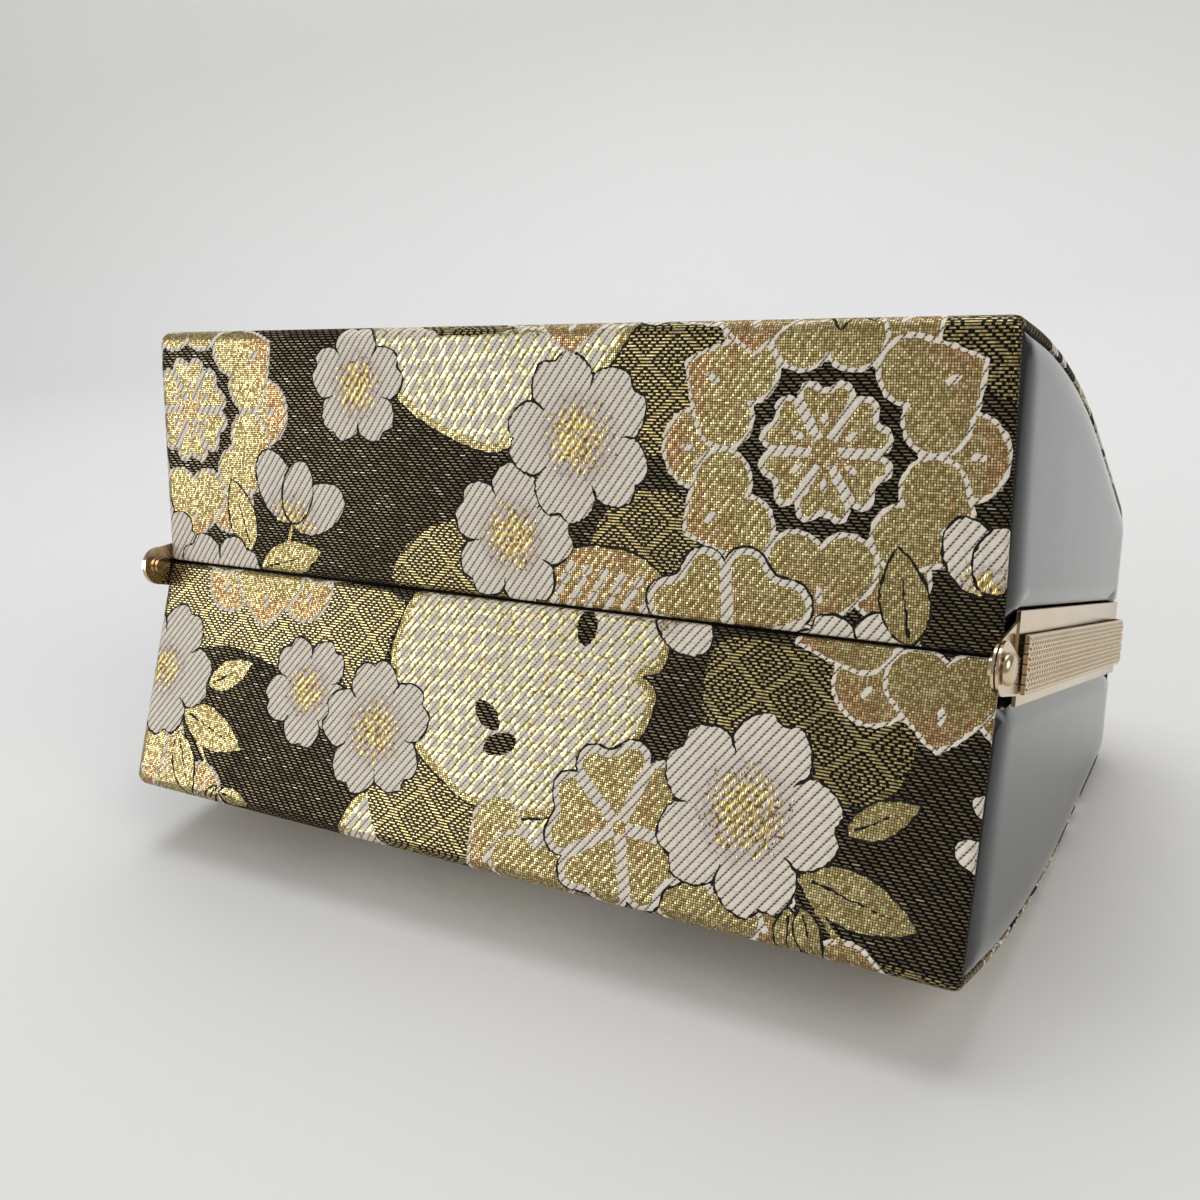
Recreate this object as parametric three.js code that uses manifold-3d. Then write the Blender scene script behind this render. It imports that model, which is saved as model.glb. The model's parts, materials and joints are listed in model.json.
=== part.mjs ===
// A formal kimono handbag with a hinged metal frame, lying on its back.
// Two stiff half shells, covered in brocade with black enamel sides, meet at a parting plane.
// Each half is held in its own metal channel frame, and both frames turn on a rivet at each bottom corner.
// Millimetres. The bag is drawn standing: x is its width, +y its back, -y its front, +z its height.
// The last lines lay it on its back, on the floor at z = 0.

import * as THREE from "three";
import { mergeVertices } from "three/addons/utils/BufferGeometryUtils.js";
import Module from "manifold-3d";

const wasm = await Module();
wasm.setup();

// Shell: the brocade-covered outline seen from the side
const COVER_WIDTH = 220; // brocade edge to brocade edge
const BASE_DEPTH = 120; // front to back at the bottom edges
const BODY_HEIGHT = 122; // bottom edges to the flat top
const CREASE_RISE = 8; // the bottom rises to a crease along its middle
const EDGE_RADIUS = 3; // fold between bottom and face
const FACE_START = 12; // upright part of the face above the fold
const FACE_RADIUS = 190; // slow curve of the face
const FACE_SWEEP = THREE.MathUtils.degToRad(21);
const SHOULDER_RADIUS = 9; // fold between face and top

// Layers of each half, from the outside in
const FIT = 0.3; // gap between pieces that touch
const BROCADE = 0.8;
const BOARD = 1.8;
const LINING = 0.8;
const PANEL = 1.8; // black enamel side
const PANEL_INSET = 1; // brocade edge stands proud of the side
const CREASE_SLIT = 0.6; // between the two brocade folds in the crease
const CREASE_STRIP_WIDTH = 16; // lining cloth laid over the crease inside
const CREASE_STRIP = 0.6;

// Metal frame
const PARTING_GAP = 0.3; // between the two closed frames
const WEB = 1; // channel wall on the parting plane
const FLANGE = 0.8; // sheet thickness of the outer flange
const FRONT_FLANGE_WIDTH = 8.4;
const BACK_FLANGE_WIDTH = 9.2;
const INNER_FLANGE = 0.6;
const INNER_FLANGE_WIDTH = 5;
const FRAME_FOOT = 15; // the channels start this far above the bottom edges
const FRAME_CORNER = 5; // outside bend at the top corners
const BAND_FRONT = 4; // the raised band overlaps the front frame by this
const BAND_BACK = 7;
const BAND_PLATE = 0.8;
const BAND_ROW = 0.4; // height of the embossed rows
const BAND_ROWS = 4;
const BAND_MARGIN = 0.7; // smooth edge of the band
const BAND_GROOVE = 0.4; // between rows
const BAND_FOOT = 16.5;

// Rivet hinge
const PIVOT_Y = 1.5;
const PIVOT_Z = 4.8;
const EAR_RADIUS = 5;
const EAR = 0.5; // sheet thickness of an ear
const NECK_SETBACK = 2; // step from the flange's edge to its neck
const RIVET_RADIUS = 1.4;
const RIVET_PLAY = 0.1;
const RIVET_HEAD_RADIUS = 3;
const RIVET_HEAD = 1.3;
const RIVET_TAIL_RADIUS = 2.2;
const RIVET_TAIL = 0.9;

// Ball clasp on the top of the frame
const BALL_RADIUS = 4.2;
const BALL_HEIGHT = 8.5; // centre above the band
const BALL_CROSSING = 2.5; // each ball leans this far over the other half
const STEM_RADIUS = 1.5;

// Carrying handle on the back half
const LUG_SPACING = 100;
const LUG_WIDTH = 11;
const LUG_DEPTH = 10;
const LUG_PLATE = 1.2;
const LUG_CHEEK = 1.8;
const LUG_EYE_HEIGHT = 6; // pin above the brocade
const LUG_EYE_RADIUS = 3.4;
const LUG_SETBACK = 2; // from the frame to the lug
const PIN_RADIUS = 1.2;
const PIN_PLAY = 0.1;
const HANDLE_RADIUS = 4.5;
const HANDLE_RISE = 92; // pin to the middle of the grip
const END_CAP_LENGTH = 16;
const END_CAP_WALL = 0.7;
const TONGUE_LENGTH = 5;

// Facets
const EDGE_STEPS = 4;
const FACE_STEPS = 12;
const SHOULDER_STEPS = 6;
const CORNER_STEPS = 5;
const ROUND_STEPS = 28;

const brocadeMaterial = new THREE.MeshStandardMaterial({ color: 0x6b5a35, roughness: 0.7, metalness: 0.15 });
const boardMaterial = new THREE.MeshStandardMaterial({ color: 0xb9a98a, roughness: 0.9 });
const liningMaterial = new THREE.MeshStandardMaterial({ color: 0x1b1a1c, roughness: 0.8 });
const enamelMaterial = new THREE.MeshStandardMaterial({ color: 0x0b0b0c, roughness: 0.12 });
const goldMaterial = new THREE.MeshStandardMaterial({ color: 0xdcc08a, roughness: 0.25, metalness: 1 });

const AXIS_X = new THREE.Vector3(1, 0, 0);
const AXIS_Y = new THREE.Vector3(0, 1, 0);
const AXIS_Z = new THREE.Vector3(0, 0, 1);

// Booleans

function toSolid(geometry) {
  const bare = new THREE.BufferGeometry();
  const source = geometry.index ? geometry.toNonIndexed() : geometry;
  bare.setAttribute("position", source.getAttribute("position").clone());
  const merged = mergeVertices(bare, 1e-4);
  return new wasm.Manifold(
    new wasm.Mesh({
      numProp: 3,
      vertProperties: merged.attributes.position.array,
      triVerts: new Uint32Array(merged.index.array),
    }),
  );
}

function toGeometry(solid) {
  const mesh = solid.getMesh();
  const geometry = new THREE.BufferGeometry();
  geometry.setAttribute("position", new THREE.BufferAttribute(mesh.vertProperties, 3));
  geometry.setIndex(new THREE.BufferAttribute(mesh.triVerts, 1));
  const faceted = geometry.toNonIndexed();
  faceted.computeVertexNormals();
  return faceted;
}

function join(...geometries) {
  return toGeometry(geometries.map(toSolid).reduce((whole, next) => whole.add(next)));
}

function cut(geometry, ...tools) {
  return toGeometry(tools.map(toSolid).reduce((whole, tool) => whole.subtract(tool), toSolid(geometry)));
}

// Extrusions

const extrude = (shape, depth) => new THREE.ExtrudeGeometry(shape, { depth, bevelEnabled: false });

// A shape drawn in (y, z), from x0 to x1.
function alongX(shape, x0, x1) {
  const geometry = extrude(shape, x1 - x0);
  geometry.applyMatrix4(new THREE.Matrix4().makeBasis(AXIS_Y, AXIS_Z, AXIS_X));
  return geometry.translate(x0, 0, 0);
}

// A shape drawn in (x, z), from y0 to y1.
function alongY(shape, y0, y1) {
  const [low, high] = y0 < y1 ? [y0, y1] : [y1, y0];
  const geometry = extrude(shape, high - low);
  geometry.applyMatrix4(new THREE.Matrix4().makeBasis(AXIS_X, AXIS_Z, AXIS_Y.clone().negate()));
  return geometry.translate(0, high, 0);
}

function arc(x, y, radius, from, to, steps) {
  return Array.from({ length: steps + 1 }, (_, i) => {
    const angle = from + ((to - from) * i) / steps;
    return new THREE.Vector2(x + radius * Math.cos(angle), y + radius * Math.sin(angle));
  });
}

const circle = (x, y, radius) => arc(x, y, radius, 0, 2 * Math.PI, ROUND_STEPS).slice(0, -1);

// A profile of (radius, length) pairs turned about the x axis.
function turned(profile, x, y, z) {
  const points = profile.map(([radius, length]) => new THREE.Vector2(radius, length));
  const geometry = new THREE.LatheGeometry(points, ROUND_STEPS);
  geometry.rotateZ(-Math.PI / 2);
  return geometry.translate(x, y, z);
}

// Shell outline

const halfDepth = BASE_DEPTH / 2;
const halfWidth = COVER_WIDTH / 2;
const baseSlope = Math.atan2(CREASE_RISE, halfDepth);
const shellEdge = PARTING_GAP / 2 + WEB + FIT; // where the shells stop short of the parting plane
const boardOut = BROCADE + FIT;
const boardIn = boardOut + BOARD;
const liningOut = boardIn + FIT;
const liningIn = liningOut + LINING;

// Height of the bottom at a depth, moved in from the outer surface.
function bottomHeight(depth, inset) {
  return CREASE_RISE - depth * Math.tan(baseSlope) + inset / Math.cos(baseSlope);
}

// Outline of one half as (depth, height) points, from the crease round to the top, moved in by an inset.
function halfOutline(inset, startDepth) {
  const edgeRadius = Math.max(EDGE_RADIUS - inset, FIT);
  const edgeDepth = halfDepth - inset - edgeRadius;
  const edgeHeight = bottomHeight(edgeDepth, inset) + edgeRadius / Math.cos(baseSlope);
  const faceCentre = halfDepth - FACE_RADIUS;
  const shoulderHeight = BODY_HEIGHT - SHOULDER_RADIUS;
  const shoulderReach = FACE_RADIUS - SHOULDER_RADIUS - (shoulderHeight - FACE_START) * Math.sin(FACE_SWEEP);
  const shoulderDepth = faceCentre + shoulderReach / Math.cos(FACE_SWEEP);
  return [
    new THREE.Vector2(startDepth, bottomHeight(startDepth, inset)),
    ...arc(edgeDepth, edgeHeight, edgeRadius, -Math.PI / 2 - baseSlope, 0, EDGE_STEPS),
    ...arc(faceCentre, FACE_START, FACE_RADIUS - inset, 0, FACE_SWEEP, FACE_STEPS),
    ...arc(shoulderDepth, shoulderHeight, SHOULDER_RADIUS - inset, FACE_SWEEP, Math.PI / 2, SHOULDER_STEPS),
    new THREE.Vector2(startDepth, BODY_HEIGHT - inset),
  ];
}

// Turns (depth, height) points to (y, z): side is 1 for the back half and -1 for the front.
function sideShape(points, side) {
  return new THREE.Shape(points.map((p) => new THREE.Vector2(side * p.x, p.y)));
}

// The sheet between two insets.
function sheetShape(side, outer, inner, startDepth) {
  const outside = halfOutline(outer, startDepth);
  const inside = halfOutline(inner, startDepth).reverse();
  return sideShape([...outside, ...inside], side);
}

function centred(shape, width) {
  return alongX(shape, -width / 2, width / 2);
}

// Brocade over the board, with its two side edges turned in over the board's edges.
function brocade(side, flange) {
  const whole = centred(sheetShape(side, 0, boardIn, CREASE_SLIT / 2), COVER_WIDTH);
  const pocket = centred(sheetShape(side, BROCADE, liningOut, 0), COVER_WIDTH - 2 * BROCADE);
  const parting = centred(partingBlock(side), COVER_WIDTH + 2);
  return cut(whole, pocket, parting, cornerTrim(side, flange, 0));
}

// Rounds the top corners of the shell where the frame bends over them.
function cornerTrim(side, flange, inset) {
  const beyond = FRAME_CORNER;
  return archStrip([beyond, beyond], [-inset, -inset], FRAME_FOOT, 0, side * (flange.width + FIT));
}

// The space that the frame's web takes at the top, where every shell stops short.
function partingBlock(side) {
  return sideShape(
    [
      new THREE.Vector2(-1, FRAME_FOOT),
      new THREE.Vector2(shellEdge, FRAME_FOOT),
      new THREE.Vector2(shellEdge, BODY_HEIGHT + 1),
      new THREE.Vector2(-1, BODY_HEIGHT + 1),
    ],
    side,
  );
}

function board(side, flange) {
  const whole = centred(sheetShape(side, boardOut, boardIn, shellEdge), COVER_WIDTH - 2 * boardOut);
  return cut(whole, cornerTrim(side, flange, boardOut));
}

// A tray of lining cloth, open towards the parting plane.
const liningSide = halfWidth - PANEL_INSET - PANEL - FIT;

function lining(side) {
  const outside = centred(sideShape(halfOutline(liningOut, shellEdge), side), 2 * liningSide);
  const hollow = centred(sideShape(halfOutline(liningIn, 0), side), 2 * (liningSide - LINING));
  return cut(outside, hollow);
}

function sidePanel(side, hand) {
  const outer = halfWidth - PANEL_INSET;
  const shape = sideShape(halfOutline(liningOut, shellEdge), side);
  return hand > 0 ? alongX(shape, outer - PANEL, outer) : alongX(shape, -outer, PANEL - outer);
}

// Cloth over the crease, inside the bag.
function creaseStrip() {
  const wing = CREASE_STRIP_WIDTH / 2;
  const under = liningIn + FIT;
  const row = (inset) => [-wing, 0, wing].map((y) => new THREE.Vector2(y, bottomHeight(Math.abs(y), inset)));
  const shape = new THREE.Shape([...row(under), ...row(under + CREASE_STRIP).reverse()]);
  return centred(shape, 2 * (halfWidth + innerFlangeSide - INNER_FLANGE - FIT));
}

// Frame

// An upside-down U in (x, z), out beyond the shell by a side and a top distance.
function archPoints(sideOut, topOut, foot) {
  const x = halfWidth + sideOut;
  const z = BODY_HEIGHT + topOut;
  const bend = Math.max(FRAME_CORNER + sideOut, FIT);
  return [
    new THREE.Vector2(x, foot),
    ...arc(x - bend, z - bend, bend, 0, Math.PI / 2, CORNER_STEPS),
    ...arc(bend - x, z - bend, bend, Math.PI / 2, Math.PI, CORNER_STEPS),
    new THREE.Vector2(-x, foot),
  ];
}

// A strip that runs up one side, over the top and down the other.
function archStrip(outer, inner, foot, y0, y1) {
  const outline = [...archPoints(...outer, foot), ...archPoints(...inner, foot).reverse()];
  return alongY(new THREE.Shape(outline), y0, y1);
}

const frontEar = { inner: FIT, outer: FIT + EAR };
const backEar = { inner: 2 * FIT + EAR, outer: 2 * FIT + 2 * EAR };
const frontFlange = { inner: FIT, outer: FIT + FLANGE, width: FRONT_FLANGE_WIDTH, ear: frontEar };
const backFlange = { inner: backEar.outer - FLANGE, outer: backEar.outer, width: BACK_FLANGE_WIDTH, ear: backEar };
const innerFlangeSide = -(halfWidth - liningSide + LINING + FIT);
const innerFlangeTop = -(liningIn + FIT);

// The point where a line from outside touches a circle; turn picks which of the two.
function tangentPoint(centre, radius, from, turn) {
  const reach = from.clone().sub(centre);
  const angle = reach.angle() + turn * Math.acos(radius / reach.length());
  return new THREE.Vector2(centre.x + radius * Math.cos(angle), centre.y + radius * Math.sin(angle));
}

// A round ear on the rivet, with a neck up to the foot of its flange.
function ear(side, hand, flange) {
  const centre = new THREE.Vector2(PIVOT_Y, PIVOT_Z);
  const root = FRAME_FOOT + EAR_RADIUS / 2;
  const inner = new THREE.Vector2((side * PARTING_GAP) / 2, root);
  const outer = new THREE.Vector2(side * (flange.width - NECK_SETBACK), root);
  const innerShoulder = new THREE.Vector2(inner.x, FRAME_FOOT);
  const outerShoulder = new THREE.Vector2(outer.x, FRAME_FOOT);
  const touchOuter = tangentPoint(centre, EAR_RADIUS, outerShoulder, -side);
  const touchInner = tangentPoint(centre, EAR_RADIUS, innerShoulder, side);
  const from = touchOuter.clone().sub(centre).angle();
  const to = touchInner.clone().sub(centre).angle();
  const full = 2 * Math.PI;
  const sweep = side > 0 ? -((((from - to) % full) + full) % full) : (((to - from) % full) + full) % full;
  const round = arc(PIVOT_Y, PIVOT_Z, EAR_RADIUS, from, from + sweep, ROUND_STEPS);
  const shape = new THREE.Shape([inner, outer, outerShoulder, ...round, innerShoulder]);
  shape.holes.push(new THREE.Path(circle(PIVOT_Y, PIVOT_Z, RIVET_RADIUS + RIVET_PLAY)));
  const near = halfWidth + flange.ear.inner;
  const far = halfWidth + flange.ear.outer;
  return hand > 0 ? alongX(shape, near, far) : alongX(shape, -far, -near);
}

// A channel with an outer flange, a web on the parting plane and an inner flange, and an ear at each foot.
function frame(side, flange) {
  const edge = (side * PARTING_GAP) / 2;
  const outside = [flange.outer, flange.outer];
  const inside = [innerFlangeSide - INNER_FLANGE, innerFlangeTop - INNER_FLANGE];
  return join(
    archStrip(outside, [flange.inner, flange.inner], FRAME_FOOT, edge, side * flange.width),
    archStrip([innerFlangeSide, innerFlangeTop], inside, FRAME_FOOT, edge, side * INNER_FLANGE_WIDTH),
    archStrip(outside, inside, FRAME_FOOT, edge, edge + side * WEB),
    ear(side, 1, flange),
    ear(side, -1, flange),
  );
}

const bandIn = backFlange.outer + FIT;
const bandPlateOut = bandIn + BAND_PLATE;
const bandOut = bandPlateOut + BAND_ROW;

// The raised band over the parting line: a plate with embossed rows along it.
function band() {
  const plate = archStrip([bandPlateOut, bandPlateOut], [bandIn, bandIn], BAND_FOOT, -BAND_FRONT, BAND_BACK);
  const field = BAND_FRONT + BAND_BACK - 2 * BAND_MARGIN;
  const rowWidth = (field - (BAND_ROWS - 1) * BAND_GROOVE) / BAND_ROWS;
  const buried = bandPlateOut - BAND_PLATE / 2;
  const rows = Array.from({ length: BAND_ROWS }, (_, i) => {
    const start = BAND_MARGIN - BAND_FRONT + i * (rowWidth + BAND_GROOVE);
    return archStrip([bandOut, bandOut], [buried, buried], BAND_FOOT + BAND_MARGIN, start, start + rowWidth);
  });
  return join(plate, ...rows);
}

// A rivet through both ears, with a domed head outside and a flat tail inside.
function hingeRivet(hand) {
  const headFoot = halfWidth + backEar.outer + FIT;
  const rim = 0.75 * RIVET_HEAD_RADIUS;
  const profile = [
    [0, halfWidth - RIVET_TAIL],
    [RIVET_TAIL_RADIUS, halfWidth - RIVET_TAIL],
    [RIVET_TAIL_RADIUS, halfWidth],
    [RIVET_RADIUS, halfWidth],
    [RIVET_RADIUS, headFoot],
    [RIVET_HEAD_RADIUS, headFoot],
    [RIVET_HEAD_RADIUS, headFoot + RIVET_HEAD / 2],
    [rim, headFoot + RIVET_HEAD],
    [0, headFoot + RIVET_HEAD],
  ];
  const geometry = turned(profile, 0, PIVOT_Y, PIVOT_Z);
  return hand > 0 ? geometry : geometry.translate(0, -PIVOT_Y, 0).rotateZ(Math.PI).translate(0, PIVOT_Y, 0);
}

// Clasp: a ball on a cranked stem, leaning over the other half and passing beside the other ball.
function claspKnob(side, stemDepth, seat) {
  const x = side * (BALL_RADIUS + FIT / 2);
  const ballHeight = BODY_HEIGHT + bandOut + BALL_HEIGHT;
  const ballY = -side * BALL_CROSSING;
  const crank = seat + (ballHeight - seat) * 0.4;
  const path = new THREE.CatmullRomCurve3([
    new THREE.Vector3(x, stemDepth, seat),
    new THREE.Vector3(x, stemDepth, crank),
    new THREE.Vector3(x, ballY, ballHeight),
  ]);
  const section = new THREE.Shape(circle(0, 0, STEM_RADIUS));
  const stem = new THREE.ExtrudeGeometry(section, { steps: 6, bevelEnabled: false, extrudePath: path });
  const ball = new THREE.SphereGeometry(BALL_RADIUS, ROUND_STEPS, ROUND_STEPS / 2);
  return join(stem, ball.translate(x, ballY, ballHeight));
}

// Handle

const eyeY = BACK_FLANGE_WIDTH + LUG_SETBACK + LUG_DEPTH / 2;
const eyeZ = BODY_HEIGHT + LUG_EYE_HEIGHT;
const tongueWidth = LUG_WIDTH - 2 * LUG_CHEEK - 2 * FIT;
const pinBore = circle(0, 0, PIN_RADIUS + PIN_PLAY);

// A clevis standing on the top, behind the frame.
function handleLug(hand) {
  const middle = (hand * LUG_SPACING) / 2;
  const seat = BODY_HEIGHT + FIT;
  const plateTop = seat + LUG_PLATE;
  const low = eyeY - LUG_DEPTH / 2;
  const high = eyeY + LUG_DEPTH / 2;
  const plate = new THREE.Shape([
    new THREE.Vector2(low, seat),
    new THREE.Vector2(high, seat),
    new THREE.Vector2(high, plateTop),
    new THREE.Vector2(low, plateTop),
  ]);
  const cheek = new THREE.Shape([
    new THREE.Vector2(eyeY - LUG_EYE_RADIUS, seat),
    new THREE.Vector2(eyeY + LUG_EYE_RADIUS, seat),
    ...arc(eyeY, eyeZ, LUG_EYE_RADIUS, 0, Math.PI, ROUND_STEPS / 2),
  ]);
  cheek.holes.push(new THREE.Path(circle(eyeY, eyeZ, PIN_RADIUS + PIN_PLAY)));
  const edge = LUG_WIDTH / 2;
  return join(
    alongX(plate, middle - edge, middle + edge),
    alongX(cheek, middle - edge, middle - edge + LUG_CHEEK),
    alongX(cheek, middle + edge - LUG_CHEEK, middle + edge),
  );
}

// The handle's own pieces are drawn round the pin line, standing straight up.
function handlePin(hand) {
  const reach = LUG_WIDTH / 2 + FIT;
  const head = PIN_RADIUS * 1.6;
  const end = reach + PIN_RADIUS;
  const profile = [
    [0, -end],
    [head, -end],
    [head, -reach],
    [PIN_RADIUS, -reach],
    [PIN_RADIUS, reach],
    [head, reach],
    [head, end],
    [0, end],
  ];
  return turned(profile, (hand * LUG_SPACING) / 2, 0, 0);
}

// The grip: a round, stiff arch between the two end caps.
const gripStart = TONGUE_LENGTH + FIT + END_CAP_WALL;
const gripCorner = (LUG_SPACING / 2) * 0.92;

function gripPath() {
  const half = LUG_SPACING / 2;
  const path = new THREE.CurvePath();
  const leg = HANDLE_RISE - gripCorner;
  const upright = (hand) => new THREE.Vector3(hand * half, 0, leg);
  path.add(new THREE.LineCurve3(new THREE.Vector3(-half, 0, gripStart), upright(-1)));
  const pull = 0.56;
  const crown = new THREE.Vector3(0, 0, HANDLE_RISE);
  const lift = new THREE.Vector3(0, 0, gripCorner * pull);
  const reach = new THREE.Vector3(half * pull, 0, 0);
  path.add(new THREE.CubicBezierCurve3(upright(-1), upright(-1).add(lift), crown.clone().sub(reach), crown));
  path.add(new THREE.CubicBezierCurve3(crown, crown.clone().add(reach), upright(1).add(lift), upright(1)));
  path.add(new THREE.LineCurve3(upright(1), new THREE.Vector3(half, 0, gripStart)));
  return path;
}

function handleGrip() {
  const section = new THREE.Shape(arc(0, 0, HANDLE_RADIUS, 0, 2 * Math.PI, 16).slice(0, -1));
  return new THREE.ExtrudeGeometry(section, { steps: 44, bevelEnabled: false, extrudePath: gripPath() });
}

// A cup over the end of the grip, with a tongue that turns on the pin.
function handleEnd(hand) {
  const outer = HANDLE_RADIUS + FIT + END_CAP_WALL;
  const inner = HANDLE_RADIUS + FIT;
  const cup = [
    [0, TONGUE_LENGTH],
    [outer * 0.7, TONGUE_LENGTH],
    [outer, TONGUE_LENGTH + END_CAP_WALL],
    [outer, TONGUE_LENGTH + END_CAP_LENGTH],
    [inner, TONGUE_LENGTH + END_CAP_LENGTH],
    [inner, TONGUE_LENGTH + END_CAP_WALL],
    [0, TONGUE_LENGTH + END_CAP_WALL],
  ];
  const points = cup.map(([radius, length]) => new THREE.Vector2(radius, length));
  const lathe = new THREE.LatheGeometry(points, ROUND_STEPS).rotateX(Math.PI / 2);
  const tongueRadius = LUG_EYE_RADIUS - FIT;
  const tongue = new THREE.Shape([
    new THREE.Vector2(tongueRadius, TONGUE_LENGTH + END_CAP_WALL / 2),
    new THREE.Vector2(-tongueRadius, TONGUE_LENGTH + END_CAP_WALL / 2),
    ...arc(0, 0, tongueRadius, Math.PI, 2 * Math.PI, ROUND_STEPS / 2),
  ]);
  tongue.holes.push(new THREE.Path(pinBore));
  const blade = alongX(tongue, -tongueWidth / 2, tongueWidth / 2);
  return join(lathe, blade).translate((hand * LUG_SPACING) / 2, 0, 0);
}

// Assembly

function add(group, name, geometry, material) {
  const mesh = new THREE.Mesh(geometry, material);
  mesh.name = name;
  group.add(mesh);
}

function addShell(group, label, side, flange) {
  add(group, `${label}_brocade`, brocade(side, flange), brocadeMaterial);
  add(group, `${label}_board`, board(side, flange), boardMaterial);
  add(group, `${label}_lining`, lining(side), liningMaterial);
  add(group, `${label}_side_panel_left`, sidePanel(side, -1), enamelMaterial);
  add(group, `${label}_side_panel_right`, sidePanel(side, 1), enamelMaterial);
}

const back = new THREE.Group();
addShell(back, "back", 1, backFlange);
add(back, "crease_lining", creaseStrip(), liningMaterial);
add(back, "back_frame", frame(1, backFlange), goldMaterial);
add(back, "frame_band", band(), goldMaterial);
add(back, "hinge_rivet_left", hingeRivet(-1), goldMaterial);
add(back, "hinge_rivet_right", hingeRivet(1), goldMaterial);
const bandMiddle = (BAND_BACK - BAND_FRONT) / 2;
add(back, "back_clasp_knob", claspKnob(1, bandMiddle + BALL_CROSSING, BODY_HEIGHT + bandOut + FIT), goldMaterial);
add(back, "handle_lug_left", handleLug(-1), goldMaterial);
add(back, "handle_lug_right", handleLug(1), goldMaterial);

const front = new THREE.Group();
addShell(front, "front", -1, frontFlange);
add(front, "front_frame", frame(-1, frontFlange), goldMaterial);
const frontStrip = -(BAND_FRONT + FRONT_FLANGE_WIDTH) / 2;
add(front, "front_clasp_knob", claspKnob(-1, frontStrip, BODY_HEIGHT + frontFlange.outer + FIT), goldMaterial);

// Above its curve the back face is flat, and the bag lies on that flat.
const restTilt = FACE_SWEEP;

// Distance of a (y, z) point above the floor, once the bag lies down.
function aboveFloor(y, z) {
  const out = (y - halfDepth + FACE_RADIUS) * Math.cos(restTilt) + (z - FACE_START) * Math.sin(restTilt);
  return FACE_RADIUS - out;
}

// The handle swings freely, so its grip lies on the floor behind the bag.
const droop = Math.asin((aboveFloor(eyeY, eyeZ) - HANDLE_RADIUS - FIT) / HANDLE_RISE);
const handle = new THREE.Group();
add(handle, "handle_grip", handleGrip(), enamelMaterial);
for (const [label, hand] of [["left", -1], ["right", 1]]) {
  add(handle, `handle_end_${label}`, handleEnd(hand), goldMaterial);
  add(handle, `handle_pin_${label}`, handlePin(hand), goldMaterial);
}
handle.position.set(0, eyeY, eyeZ);
handle.rotation.x = restTilt - droop;

// Lay the bag on its back and put the origin under the middle of its box.
const lying = new THREE.Group();
lying.add(back, front, handle);
lying.rotation.x = -(Math.PI / 2 + restTilt);
const bag = new THREE.Group();
bag.add(lying);
bag.updateMatrixWorld(true);
const box = new THREE.Box3().setFromObject(bag, true);
lying.position.set(-(box.min.x + box.max.x) / 2, -(box.min.y + box.max.y) / 2, -box.min.z);

export default bag;
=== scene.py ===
# Kimono handbag lying on its back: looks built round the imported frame.
# Cloth and metal are laid out in millimetres in the standing bag's own axes
# (x width, y front to back, z height) and put into the row frame by place().

import cmath
import json
import math
import random

import bpy
import numpy as np
from mathutils import Matrix, Vector
from mathutils.geometry import delaunay_2d_cdt


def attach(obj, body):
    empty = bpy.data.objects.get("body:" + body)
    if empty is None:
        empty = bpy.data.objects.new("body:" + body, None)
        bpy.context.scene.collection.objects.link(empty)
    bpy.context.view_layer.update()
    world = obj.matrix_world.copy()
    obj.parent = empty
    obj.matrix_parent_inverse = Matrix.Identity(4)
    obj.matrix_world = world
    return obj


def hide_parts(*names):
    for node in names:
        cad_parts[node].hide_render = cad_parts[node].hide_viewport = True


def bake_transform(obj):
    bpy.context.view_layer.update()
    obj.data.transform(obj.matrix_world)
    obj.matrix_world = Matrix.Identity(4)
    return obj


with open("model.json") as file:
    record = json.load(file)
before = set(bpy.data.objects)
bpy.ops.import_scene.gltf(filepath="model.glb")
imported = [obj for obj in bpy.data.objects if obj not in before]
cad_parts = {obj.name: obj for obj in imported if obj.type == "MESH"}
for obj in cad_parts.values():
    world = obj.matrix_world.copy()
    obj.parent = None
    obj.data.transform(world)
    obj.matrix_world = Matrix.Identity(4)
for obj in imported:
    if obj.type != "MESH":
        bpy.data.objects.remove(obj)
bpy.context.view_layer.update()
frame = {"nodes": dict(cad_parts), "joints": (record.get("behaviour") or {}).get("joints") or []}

# Sizes shared with the CAD model
HALF_WIDTH = 110.0
HALF_DEPTH = 60.0
BODY_HEIGHT = 122.0
CREASE_RISE = 8.0
EDGE_RADIUS = 3.0
FACE_START = 12.0
FACE_RADIUS = 190.0
FACE_SWEEP = math.radians(21)
SHOULDER_RADIUS = 9.0
SHELL_EDGE = 1.45
LINING_OUT = 3.2
LINING_IN = 4.0
LINING_SIDE = 106.1
FRONT_FLANGE = 8.4
BACK_FLANGE = 9.2
FRAME_CORNER = 5.0
FIT = 0.3
BAND_IN = 1.9
BAND_PLATE = 0.8
BAND_FRONT = 4.0
BAND_BACK = 7.0
BAND_FOOT = 16.5
PIVOT = (1.5, 4.8)
STRIP_WING = 8.0
STRIP_HALF_LENGTH = 104.9
HANDLE_EYE = (16.2, 128.0)
HANDLE_RADIUS = 4.5
HANDLE_RISE = 92.0
HANDLE_HALF_SPAN = 50.0
HANDLE_START = 6.0
BASE_SLOPE = math.atan2(CREASE_RISE, HALF_DEPTH)

joints = {joint["name"]: joint for joint in frame["joints"]}
hinge = [1000 * value for value in joints["frame_hinge"]["pos_m"]]
TILT = FACE_SWEEP


def lay(y, z):
    """Standing (y, z) turned to the row's Y and Z directions."""
    return -y * math.sin(TILT) + z * math.cos(TILT), -y * math.cos(TILT) - z * math.sin(TILT)


SHIFT_Y = hinge[1] - lay(*PIVOT)[0]
SHIFT_Z = hinge[2] - lay(*PIVOT)[1]


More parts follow.
